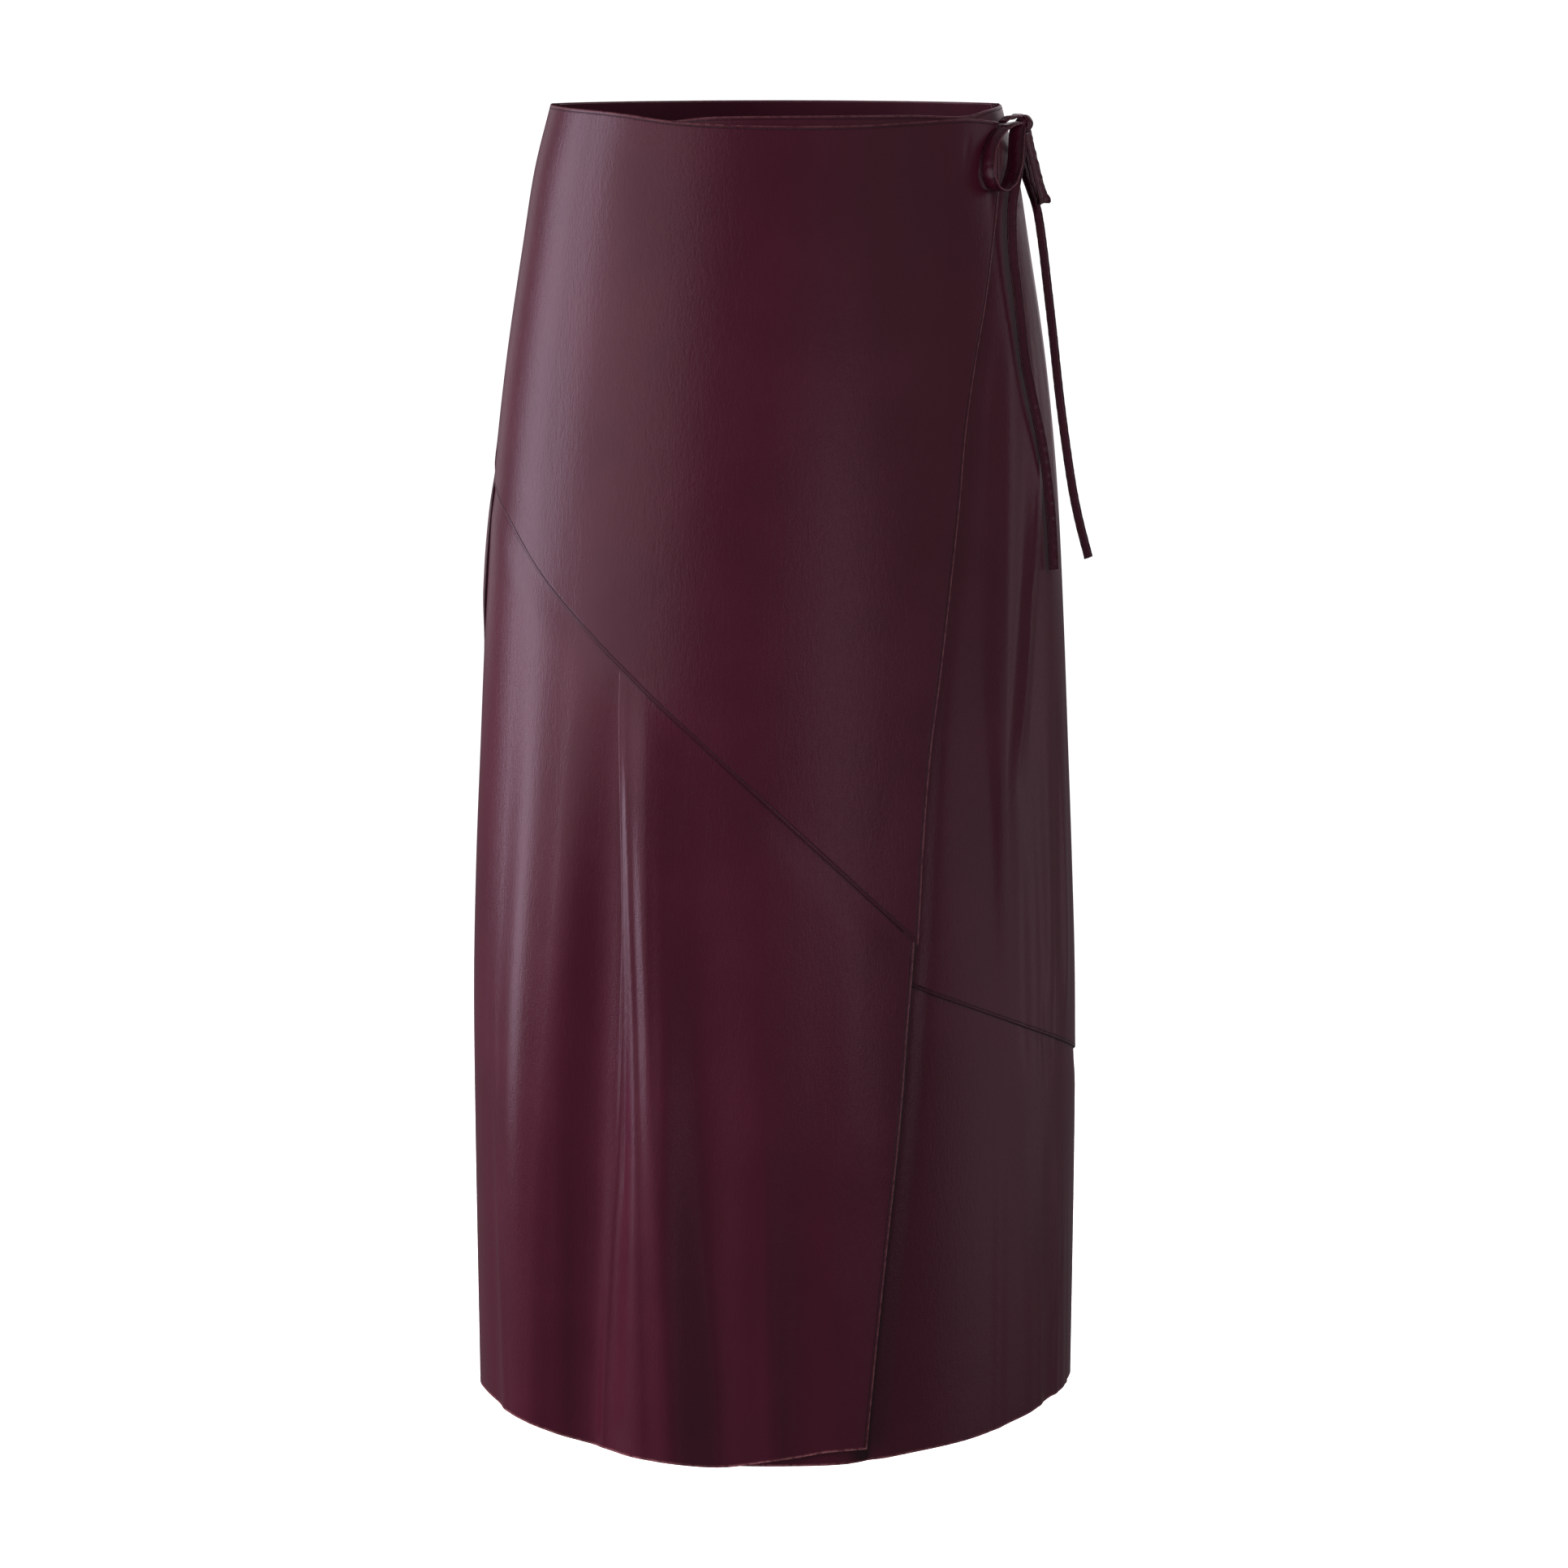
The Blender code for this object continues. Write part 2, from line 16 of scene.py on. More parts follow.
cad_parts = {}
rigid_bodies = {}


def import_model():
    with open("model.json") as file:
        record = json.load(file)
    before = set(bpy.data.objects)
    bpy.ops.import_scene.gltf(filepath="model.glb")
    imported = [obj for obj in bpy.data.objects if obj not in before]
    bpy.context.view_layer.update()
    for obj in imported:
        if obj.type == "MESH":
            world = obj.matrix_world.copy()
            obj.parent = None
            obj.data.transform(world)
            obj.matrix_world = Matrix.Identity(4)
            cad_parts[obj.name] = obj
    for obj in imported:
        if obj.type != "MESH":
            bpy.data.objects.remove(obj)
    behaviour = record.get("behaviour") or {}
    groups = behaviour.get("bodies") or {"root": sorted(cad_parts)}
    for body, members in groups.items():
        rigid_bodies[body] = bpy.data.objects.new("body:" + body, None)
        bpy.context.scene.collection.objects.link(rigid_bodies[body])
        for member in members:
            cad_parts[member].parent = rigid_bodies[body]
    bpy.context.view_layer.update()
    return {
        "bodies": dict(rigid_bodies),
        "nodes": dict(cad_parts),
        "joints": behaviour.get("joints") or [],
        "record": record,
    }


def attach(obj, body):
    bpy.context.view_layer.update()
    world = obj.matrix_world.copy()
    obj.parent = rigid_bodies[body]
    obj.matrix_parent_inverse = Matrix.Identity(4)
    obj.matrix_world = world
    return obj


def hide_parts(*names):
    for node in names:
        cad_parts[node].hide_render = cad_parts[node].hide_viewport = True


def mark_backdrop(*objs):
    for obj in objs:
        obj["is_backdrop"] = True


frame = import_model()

print("nodes:", sorted(frame["nodes"]))

# %% [markdown]
# ## The camera
# It stands a little over two metres in front of the skirt, level with the waist, and looks
# down at the middle of it.  A long lens at that distance keeps the two sides of the skirt
# nearly parallel, as a catalogue view does.

# %% The camera
CAMERA_PLACE = (0.005, -2.21, 0.0)
CAMERA_TILT = 11.06             # degrees below the horizon
LENS = 80.0
SENSOR = 36.0

lens = bpy.data.cameras.new("camera")
lens.lens = LENS
lens.sensor_width = SENSOR
camera = bpy.data.objects.new("camera", lens)
camera.location = CAMERA_PLACE
camera.rotation_euler = (math.radians(90 - CAMERA_TILT), 0, 0)
bpy.context.scene.collection.objects.link(camera)
bpy.context.scene.camera = camera
bpy.context.scene.view_settings.view_transform = "Standard"
print("camera at", CAMERA_PLACE)

# %% [markdown]
# ## Reading tables
# The skirt has no straight lines, so its sizes are short tables: a row for each height, and
# a smooth curve through the rows.  numpy reads a table for thousands of points at once,
# which keeps a fine mesh quick to make.

# %% Reading tables
MM = 0.001


FINE_STEPS = 3000
fine_tables = {}


def fine_table(rows, column):
    """The smooth curve through a table's rows, worked out once at many places."""
    key = (id(rows), column)
    if key not in fine_tables:
        table = np.array(rows, float)
        places, values = table[:, 0], table[:, column]
        slopes = np.empty(len(values))
        slopes[1:-1] = (values[2:] - values[:-2]) / (places[2:] - places[:-2])
        slopes[0] = (values[1] - values[0]) / (places[1] - places[0])
        slopes[-1] = (values[-1] - values[-2]) / (places[-1] - places[-2])
        margin = 0.2 * (places[-1] - places[0])
        at = np.linspace(places[0] - margin, places[-1] + margin, FINE_STEPS)
        i = np.clip(np.searchsorted(places, at, side="right") - 1, 0, len(places) - 2)
        step = places[i + 1] - places[i]
        t = np.clip((at - places[i]) / step, 0, 1)
        curve = ((2 * t**3 - 3 * t**2 + 1) * values[i] + (t**3 - 2 * t**2 + t) * step * slopes[i]
                 + (3 * t**2 - 2 * t**3) * values[i + 1] + (t**3 - t**2) * step * slopes[i + 1])
        curve += np.minimum(at - places[0], 0) * slopes[0] + np.maximum(at - places[-1], 0) * slopes[-1]
        fine_tables[key] = at, curve, rows
    return fine_tables[key][:2]


def read(rows, column, at):
    """One column of a table at a place, or at many, on the smooth curve through its rows."""
    return np.interp(at, *fine_table(rows, column))


def ease(t):
    """Rises smoothly from 0 to 1 as t does."""
    t = np.clip(t, 0, 1)
    return t * t * (3 - 2 * t)


# %% [markdown]
# ## The worn form
# A place on the cloth is two numbers.  `drop` is how far it is below the waist, in
# millimetres.  `around` is the angle round the body, in degrees: 0 at the wearer's right
# side, 90 at the middle of the front, 180 at the other side and 270 at the middle of the
# back.  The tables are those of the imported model, so that the thin cloth made here lies
# where its solids are.

# %% The worn form
LENGTH = 838.0
#   drop, half the width, depth in front, depth behind, lean to the -X side
FORM = [
    (0, 140.0, 98.0, 98.0, 0.0),
    (40, 150.5, 106.0, 108.0, 0.0),
    (85, 158.3, 113.0, 121.0, 0.0),
    (150, 168.8, 121.0, 134.0, 0.0),
    (210, 176.3, 126.0, 141.0, 0.3),
    (260, 180.8, 129.0, 143.0, 0.7),
    (330, 185.2, 133.0, 143.0, 1.0),
    (400, 188.9, 136.0, 143.0, 1.2),
    (480, 193.0, 139.5, 144.0, 1.4),
    (560, 196.0, 143.0, 146.0, 1.2),
    (660, 197.0, 147.0, 149.0, 0.9),
    (840, 196.8, 151.0, 153.0, 0.8),
]


def form_sizes(around, drop):
    """Half the width and the depth of the worn form on this side of it."""
    front = np.sin(np.radians(around)) >= 0
    return read(FORM, 1, drop), np.where(front, read(FORM, 2, drop), read(FORM, 3, drop))


def around_at(across, drop):
    """The angle at which the front is this far to the +X side of the origin."""
    return np.degrees(np.arccos(-(across + read(FORM, 4, drop)) / read(FORM, 1, drop)))


def arc_per_degree(around, drop):
    """Millimetres of cloth for one degree round the body, here."""
    width, depth = form_sizes(around, drop)
    angle = np.radians(around)
    return np.radians(np.hypot(width * np.sin(angle), depth * np.cos(angle)))


# %% [markdown]
# ## Folds
# Leather this thin hangs in long soft folds.  Each is a row of a table: it runs from one
# place on the cloth to another, grows from nothing at its head, and one that ends above the
# hem dies away again.  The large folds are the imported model's.  The small ones, some of them
# creases a few millimetres wide, are added here.

# %% Folds
FOLD_GROWS = 0.6
FOLD_DIES = 0.3
#   drop and around at its head, drop and around at its foot, half width, rise
LARGE_FOLDS = [
    (430, 31, 840, 33, 30, 2.5), (430, 107, 700, 106, 34, 1.8),
    (340, 156, 600, 152, 12, 1.4), (330, 166, 600, 162, 12, 1.4),
    (640, 160, 840, 162, 16, 1.4), (620, 143, 840, 146, 18, 1.4),
    (610, 153, 840, 154, 12, -1.2), (205, 362, 345, 363, 20, 2.4), (600, 95, 845, 94.5, 24, -3.0),
    (470, 213, 840, 211, 26, 4.5), (520, 238, 840, 240, 30, -4.5),
    (420, 264, 840, 267, 30, 5.0), (470, 291, 840, 295, 30, -5.0),
    (400, 318, 840, 322, 28, 4.0), (560, 343, 840, 344, 24, -3.0),
]
SMALL_FOLDS = [
    (400, 150, 640, 149, 4, 0.7), (420, 157, 620, 156, 4, 0.8), (360, 163, 600, 162, 4, 0.6),
    (440, 144, 610, 144, 5, -0.8), (600, 136, 845, 136.5, 7, 0.9),
    (620, 150, 845, 151, 5, 0.8), (640, 157, 845, 158, 5, 0.9), (650, 165, 845, 166, 5, 0.8),
    (700, 161, 800, 156, 2.5, -0.6), (690, 153, 790, 149, 2.5, -0.5),
    (560, 61.6, 690, 60.2, 2.2, -0.8), (520, 24, 845, 29, 9, 0.9), (560, 47, 845, 44, 9, 0.5),
    (200, 41, 760, 34.5, 26, 2.8), (380, 66.3, 700, 68.5, 9, -0.9), (600, 82.5, 845, 83.5, 16, 1.6),
    (200, 158.5, 310, 148.6, 2.2, 1.1), (265, 151.6, 430, 141.6, 2.2, 1.2),
    (20, 150, 70, 146, 4, -0.7),
    (24, 154, 90, 146, 5, 0.6), (14, 143, 44, 138, 3.5, -0.5),
]
# Reliefs: the pleat that the tuck lets go, and the drag lines from the bow down the
# underlap.  Each is a set of ridges and hollows, from left to right, and the cloth runs
# smoothly from each line to the next.
#   drop, around, height
PLEAT_LINES = [
    [(340, 22, 0), (840, 22, 0)],
    [(340, 49, 0), (376, 48, 0), (409, 47, 0.3), (484, 45.8, 0.6), (577, 43.2, 0.9), (690, 39.3, 1.2),
     (790, 37.6, 1.5), (840, 37, 1.5)],
    [(340, 59, 0), (376, 58.2, -1.5), (427, 57.7, -3.5), (477, 57.2, -5.5), (554, 56.2, -8),
     (633, 54.8, -9.5), (712, 53.4, -10.5), (793, 51.9, -11), (840, 51.3, -11)],
    [(340, 60.2, 0), (376, 60.4, -1.2), (427, 60.7, -3), (477, 60.8, -4.6), (554, 60.6, -6.6),
     (633, 59.3, -8.2), (712, 57.2, -8.8), (793, 55.2, -9), (840, 54.4, -9)],
    [(340, 61.5, 0), (376, 61.8, -0.8), (427, 62.3, -1.6), (477, 63, -2.4), (554, 64, -3),
     (633, 64.6, -1.2), (712, 65, 0.6), (793, 65.6, 1.2), (840, 66, 1.2)],
    [(340, 66, 0), (400, 66.2, 0.6), (475, 66.6, 0.8), (551, 67.2, 1), (628, 68, 1.6),
     (706, 69, 2.2), (785, 70, 2.6), (840, 70.6, 2.8)],
    [(340, 78, 0), (473, 77.5, -1.2), (549, 77.3, -2.6), (626, 77.6, -4), (703, 78.3, -5.6),
     (782, 79.6, -6.8), (840, 80.4, -7.2)],
    [(340, 90, 0), (560, 89, -0.4), (677, 89.5, -0.8), (790, 91, -1), (840, 92, -1.2)],
    [(340, 106, 0), (840, 106, 0)],
]
PLEAT_DEPTH = 1.55
DRAG_LINES = [
    [(110, 131, 0), (220, 124, 0), (400, 121, 0), (580, 120, 0)],
    [(110, 143, 0), (142, 141.9, -0.7), (210, 137.5, -1.9), (279, 135.1, -2.5), (354, 133.5, -2.7),
     (430, 134.8, -2.2), (507, 134.7, -1), (580, 135, 0)],
    [(110, 150, 0), (143, 148.5, 0.3), (231, 143.4, 0.8), (305, 141, 0.8), (400, 139, 0.5),
     (507, 138.5, 0.2), (580, 139, 0)],
    [(110, 155, 0), (222, 150, -0.5), (293, 146.6, -0.8), (371, 142.2, -0.4), (412, 140.4, 0),
     (580, 141, 0)],
    [(110, 160, 0), (222, 156.5, 0.8), (259, 153.7, 1.4), (293, 150.5, 1.7), (333, 147.8, 1.8),
     (371, 144.9, 1.6), (412, 141.8, 1), (470, 142.5, 0.3), (580, 144, 0)],
    [(110, 163, 0), (222, 160, -0.2), (293, 154.5, -0.9), (371, 149.5, -1), (440, 148, -0.4),
     (580, 150, 0)],
    [(110, 172, 0), (293, 163, 0), (440, 158, 0), (580, 160, 0)],
]


def relief(lines, around, drop):
    """The height of a relief: smooth from each of its lines to the next, 0 outside them."""
    around, drop = np.broadcast_arrays(around, drop)
    begins, ends = lines[0][0][0], lines[0][-1][0]
    total = np.zeros(around.shape)
    at = np.clip(drop, begins, ends)
    places = [read(line, 1, at) for line in lines]
    heights = [read(line, 2, at) for line in lines]
    for left, right, low, high in zip(places, places[1:], heights, heights[1:]):
        here = (drop >= begins) & (around >= left) & (around < right)
        total = np.where(here, low + (high - low) * ease((around - left) / (right - left)), total)
    return total


def fold_rise(around, drop):
    """How far the reliefs and the folds lift the cloth here."""
    total = PLEAT_DEPTH * relief(PLEAT_LINES, around, drop) + relief(DRAG_LINES, around, drop)
    arc = arc_per_degree(around, drop)
    for head_drop, head_around, foot_drop, foot_around, half_width, rise in LARGE_FOLDS + SMALL_FOLDS:
        along = (drop - head_drop) / (foot_drop - head_drop)
        middle = head_around + (foot_around - head_around) * along
        aside = np.minimum(np.abs(around - middle) * arc / half_width, 1)
        strength = ease(along / FOLD_GROWS)
        if foot_drop < LENGTH:
            strength = strength * ease((1 - along) / FOLD_DIES)
        here = (along > 0) & (along <= 1.05)
        total += np.where(here, rise * strength * (0.5 + 0.5 * np.cos(np.pi * aside)), 0)
    return total


def outward(around, drop):
    """The level direction that faces straight out of the worn form."""
    width, depth = form_sizes(around, drop)
    angle = np.radians(around)
    x, y = -np.cos(angle) / width, -np.sin(angle) / depth
    size = np.hypot(x, y)
    return np.stack([x / size, y / size, np.zeros_like(x)], axis=-1)


def place(around, drop, out):
    """Points on the cloth in metres, `out` millimetres beyond the worn form and its folds."""
    around, drop, out = np.broadcast_arrays(around, drop, out)
    width, depth = form_sizes(around, drop)
    angle = np.radians(around)
    across = -width * np.cos(angle) - read(FORM, 4, drop)
    on_form = np.stack([across, -depth * np.sin(angle), -drop], axis=-1)
    reach = (out + fold_rise(around, drop))[..., None]
    return (on_form + outward(around, drop) * reach) * MM


print("large folds:", len(LARGE_FOLDS), "small folds:", len(SMALL_FOLDS))

# %% [markdown]
# ## The cut
# Edges of the panels.  Some run round the body and give a drop at an angle: the waist, the
# slanted seams and the hem.  Others run down it: the side seams and the wrap edge, the free
# edge that crosses the front.

# %% The cut
#   around, drop
OVERLAP_TOP = [(0, 0.4), (7, 1.1), (39, 4.4), (52, 6.8), (63, 10.1), (75, 12.2), (91, 13.3),
               (110, 12.9), (125, 11.1), (144, 9.4), (159, 11.3), (168, 12.0)]
UNDERLAP_TOP = [(58, 12.0), (64, 10.6), (70, 8.9), (76, 8.0), (91, 7.6), (125, 7.2), (144, 7.8),
                (155, 4.6), (172, 1.5), (184, 0.6)]
BACK_TOP = [(184, 0.2), (270, -1.8), (360, 0.3)]
OVERLAP_SEAM = [(0, 226), (13.8, 242), (24.8, 258), (39, 288), (53, 319.5), (70, 364),
                (85, 407.5), (101, 457.5), (116, 505), (120, 517)]
UNDERLAP_SEAM = [(70, 462), (92, 497), (115.5, 534), (130, 554), (149, 578), (167, 597), (184, 612)]
BACK_SEAM = [(184, 612), (215, 562), (250, 482), (285, 398), (325, 310), (360, 226)]
OVERLAP_HEM = [(0, 836), (16, 830), (35, 831.5), (45, 835.5), (54, 836.2), (64, 837.6), (76, 839),
               (81, 838.2), (88, 834.5), (94, 831.5), (100, 828.5), (107, 827)]
UNDERLAP_HEM = [(70, 838.5), (92, 838), (104, 838), (116, 835), (130, 833), (142, 829.5),
                (150, 827.5), (158, 826), (168, 825.5), (176, 828), (184, 834)]
BACK_HEM = [(184, 834), (225, 838), (270, 840), (320, 838), (360, 836)]
#   drop, around
SIDE_SEAM = [(0, 2), (100, 4), (185, 6), (240, 6.5), (290, 6.2), (350, 5), (450, 3.6), (560, 3), (840, 3)]
#   drop, how far to the +X side of the middle
WRAP_EDGE = [(0, 136.5), (12, 135), (55, 133.3), (116, 126.4), (156, 119.8), (196, 114.3),
             (242, 110.5), (342, 99.5), (389, 93.7), (446, 89.5), (505, 86.6), (553, 82.5),
             (612, 78.2), (762, 63.8), (840, 56.8)]
UNDERLAP_EDGE = [(0, -68), (60, -66), (300, -50), (840, -50)]
EDGE_SETBACK = 2.0      # the lower panel's wrap edge stands back from the upper panel's
RIGHT_SEAM_AROUND = 184.0
SIDE_GAP = 0.15         # between front and back in the crease of a side seam
LAP = 2.8               # how far the overlap stands out, to clear the underlap
LAP_START = 38.0
LAP_FULL = 58.0
FLARE_WIDE = 9.0        # in degrees
#   drop, how much further out the overlap's free edge stands
EDGE_FLARE = [(0, 0), (40, 0.2), (200, 0.5), (400, 0.6), (505, 0.8), (600, 1.6), (720, 2.2), (840, 2.6)]
HEM_LEVELS = 0.4        # how much higher the hem is where a fold stands out


def edge(rows):
    return lambda around: read(rows, 1, around)


def hem(rows):
    """A hem that hangs level where folds push the cloth out or in."""
    around = np.arange(rows[0][0], rows[-1][0] + 1, 0.5)
    low = read(rows, 1, around)
    to_front = np.maximum(-outward(around, low)[..., 1], 0)
    levelled = np.stack([around, low - HEM_LEVELS * fold_rise(around, low) * to_front], axis=-1)
    return edge(levelled)


def side_seam(drop):
    return read(SIDE_SEAM, 1, drop)


def back_side_seam(drop):
    return read(SIDE_SEAM, 1, drop) + 360


def right_seam(drop):
    return RIGHT_SEAM_AROUND + 0 * drop


def wrap_edge(drop):
    return around_at(read(WRAP_EDGE, 1, drop), drop)


def wrap_edge_lower(drop):
    return around_at(read(WRAP_EDGE, 1, drop) - EDGE_SETBACK, drop)


def underlap_edge(drop):
    return around_at(read(UNDERLAP_EDGE, 1, drop), drop)


def shifted(guide, gap):
    """The same guide, moved round the body by some millimetres of cloth."""
    def moved(drop):
        around = guide(drop)
        return around + gap / arc_per_degree(around, drop)
    return moved


def lap_rise(around, drop):
    """The overlap stands out to clear the underlap, and a little more at its free edge."""
    flare = read(EDGE_FLARE, 1, drop) * ease(1 - (wrap_edge(drop) - around) / FLARE_WIDE)
    return LAP * ease((around - LAP_START) / (LAP_FULL - LAP_START)) + flare


def on_the_form(around, drop):
    return 0.0 * around


# %% [markdown]
# ## How an edge is finished
# The leather is about half a millimetre thick.  Along the waist, the wrap edge and the lapped
# seams it is folded under and sewn down, at a side seam it turns straight in, and the hem is
# left as it was cut.  Each finish is a short list of stations: how far a row of the mesh is
# from the edge, and how far out it stands.  Rows crowd together where the cloth bends.

# %% How an edge is finished
THIN = 0.5              # the leather
BEND = 0.6              # the radius of the outer face round a fold
ALLOWANCE = 9.0         # what is folded under
STITCH_FROM_EDGE = 1.9
STITCH_SINKS = 0.16     # the thread pulls the surface in
FLAT_STEPS = (0.35, 0.7, 1.1, 1.5, 1.9, 2.3, 2.8, 3.6, 5.0, 7.0, 9.5)
FOLD_PALE_REACH = 1.4       # how far in from a fold its coat is painted pale: scuffing and the fold's painted highlight
WRAP_PALE_AND_HIGHLIGHT = 0.85      # the free edge is handled most, and its painted highlight is brightest
SEAM_SHADE = -0.30     # along a lapped seam the fold is painted with shade, not pale
# painted shade in the channel of the stitches
CHANNEL_SHADE = 0.8
RAW_RUBBED = 1.6


def stitch_dip(along):
    """The shallow channel that a row of stitches pulls into the surface."""
    return -STITCH_SINKS * math.exp(-((along - STITCH_FROM_EDGE) / 0.45) ** 2)


def pale_and_shade_from_fold(along, edge_tone):
    """Pale along the fold above 0, scuffing and painted highlight, and painted shade along it below 0; painted
    shade in the channel of the stitches.
    """
    near = float(1 - ease((along - FOLD_PALE_REACH / 2) / (FOLD_PALE_REACH / 2)))
    return edge_tone * near - CHANNEL_SHADE * math.exp(-((along - STITCH_FROM_EDGE) / 0.5) ** 2)


def folded_edge(proud=0.0, edge_tone=0.5):
    """Folded under and topstitched.  The edge stands `proud` of the cloth further in."""
    stations = [(BEND + ALLOWANCE * share, -2 * BEND) for share in (1, 0.6, 0.3, 0.1)]
    for step in range(-3, 4):
        angle = math.radians(30 * step)
        stations.append((BEND * (1 - math.cos(angle)), -BEND * (1 - math.sin(angle))))
    stations += [(BEND + step, stitch_dip(BEND + step)) for step in FLAT_STEPS]
    reach = stations[-1][0]
    # The tone of a fold: above 0 it is painted pale with scuffing and highlight, below 0 with shade.
    return [(along, out + proud * float(1 - ease(along / reach)), pale_and_shade_from_fold(along, edge_tone))
            for along, out in stations]


def turned_in_edge(depth=4.0):
    """Turned straight in, against the panel that it is sewn to."""
    stations = [(0.0, -BEND - depth * share) for share in (1, 0.5, 0.1)]
    for step in range(0, 4):
        angle = math.radians(30 * step)
        stations.append((BEND * (1 - math.cos(angle)), -BEND * (1 - math.sin(angle))))
    stations += [(BEND + step, 0.0) for step in FLAT_STEPS]
    # The crease of the seam is painted with shade.
    return [(along, out, -0.8 * float(1 - ease(along / 2.2))) for along, out in stations]


def raw_edge(edge_tone=RAW_RUBBED):
    """Left as it was cut."""
    stations = (0, 0.3, 0.7, 1.2, 1.8, 3.0, 5.0, 8.0)
    return [(along, 0.0, edge_tone * float(1 - ease((along - 0.5) / 1.2))) for along in stations]


def lapped_under_edge(under=8.0, depth=1.15, rise=24.0):
    """Sewn under the folded edge of the panel above, which it comes out from below."""
    alongs = (-under, -under / 2, -2.0, -1.0, -0.4, 0.0, 0.4, 0.9, 1.6, 2.8, 4.5, 7.0, 10.0, 14.0, 19.0, 24.5)
    # Where it comes out from under the fold, the fold's contact shadow is painted on it.
    return [(along, -depth * float(1 - ease((along + 0.4) / rise)), -float(1 - ease(along / 1.3)))
            for along in alongs]


print("folded edge:", [(round(along, 2), round(out, 2)) for along, out, wear_and_painted_light in folded_edge()])

# %% [markdown]
# ## A sheet of cloth
# Blender's grid operator makes a flat sheet of quads.  Each of its columns then follows a
# guide down the body and each row lies at a share of the way between the panel's top and
# bottom edges.  A point's drop depends on its angle and its angle on its drop, so the two
# are worked out in turn until they settle.  Solidify gives the leather its thickness, with
# the backing as a second material on the inside and the cut edge as a third.

# %% A sheet of cloth
SETTLE_ROUNDS = 5


def spread(start, count, finish):
    """Rows of a panel: (how far from its top, share of what is left, how far back from there).

    `start` and `finish` are finishes of its two edges, and `count` steps lie between them.
    """
    top_reach, bottom_reach = start[-1][0], finish[-1][0]
    rows = [(along, 0.0, 0.0, out, wear_and_painted_light) for along, out, wear_and_painted_light in start]
    rows += [(top_reach, i / count, 0.0, 0.0, 0.0) for i in range(1, count)]
    rows += [(top_reach, 1.0, bottom_reach - along, out, wear_and_painted_light) for along, out, wear_and_painted_light in reversed(finish)]
    return rows, top_reach, bottom_reach


def columns_from(guide, finish, side):
    """Columns beside a panel's edge, as (around at a drop, out, mark of scuffing and painted light); `side` is +1
    or -1.
    """
    columns = [(shifted(guide, side * along), out, wear_and_painted_light) for along, out, wear_and_painted_light in finish]
    return columns if side > 0 else columns[::-1]


def columns_between(guide, other, count):
    """Evenly spaced columns between two guides, without the guides themselves."""
    def one(share):
        return lambda drop: guide(drop) * (1 - share) + other(drop) * share
    return [(one(i / count), 0.0, 0.0) for i in range(1, count)]


def steepness(line, around, drop):
    """How much longer a step straight down is than one square to this edge."""
    slope = (line(around + 0.5) - line(around - 0.5)) / arc_per_degree(around, drop)
    return np.sqrt(1 + slope**2)


def strongest(first, second):
    """Whichever of two marks of scuffing and painted light is the further from none."""
    return np.where(np.abs(first) > np.abs(second), first, second)


def settle(columns, rows, top, bottom):
    """The angle, drop, lift and mark of scuffing and painted light of each point of a panel, a row for each
    column.
    """
    stations, top_reach, bottom_reach = rows
    near, share, far, out, row_wear_and_light = np.array(stations).T
    points = []
    for around_of, column_out, column_wear_and_light in columns:
        drop = share * LENGTH
        for _ in range(SETTLE_ROUNDS):
            around = around_of(drop)
            upper = steepness(top, around, top(around))
            lower = steepness(bottom, around, bottom(around))
            first = top(around) + upper * near
            last = bottom(around) - lower * bottom_reach
            drop = first + share * (last - top(around) - upper * top_reach) + lower * far
        lifted = column_out(drop) if callable(column_out) else column_out
        wear_and_light_mark = column_wear_and_light(drop) if callable(column_wear_and_light) else column_wear_and_light
        points.append((around + 0 * drop, drop, out + lifted, strongest(row_wear_and_light, wear_and_light_mark)))
    return [np.array(values) for values in zip(*points)]


def finish_piece(name, mesh, materials):
    """An object of a mesh, smooth and with its materials."""
    mesh.name = name
    mesh.shade_smooth()
    for material in materials:
        mesh.materials.append(material)
    piece = bpy.data.objects.new(name, mesh)
    bpy.context.scene.collection.objects.link(piece)
    return piece


def cloth(name, columns, rows, top, bottom, out, materials):
    """A panel of thin leather."""
    angles, drops, outs, wear_and_light_marks = settle(columns, rows, top, bottom)
    points = place(angles, drops, outs + out(angles, drops))
    across, down = len(columns) - 1, len(rows[0]) - 1
    shape = bmesh.new()
    bmesh.ops.create_grid(shape, x_segments=across, y_segments=down, size=1)
    # Each point carries its mark: scuffed pale and painted highlight above zero, painted shade below.
    wear_and_light_mark = shape.verts.layers.float.new("wear_and_painted_light")
    for vertex in shape.verts:
        column = round((vertex.co.x + 1) / 2 * across)
        row = round((1 - vertex.co.y) / 2 * down)
        vertex.co = points[column, row]
        vertex[wear_and_light_mark] = wear_and_light_marks[column, row]
    mesh = bpy.data.meshes.new(name)
    shape.to_mesh(mesh)
    shape.free()
    piece = finish_piece(name, mesh, materials)
    wall = piece.modifiers.new("leather", "SOLIDIFY")
    wall.thickness = THIN * MM
    wall.offset = -1
    wall.use_quality_normals = True
    wall.material_offset = 1
    wall.material_offset_rim = 2
    print(name, "grid", across, "x", down)
    return piece


# %% [markdown]
# ## Shader maths
# A material's nodes read better as arithmetic.  `Wire` holds one output of a node, and
# adding or multiplying wires adds the Math nodes.  `Recipe` holds the material, and its
# `node` method makes any other kind of node.

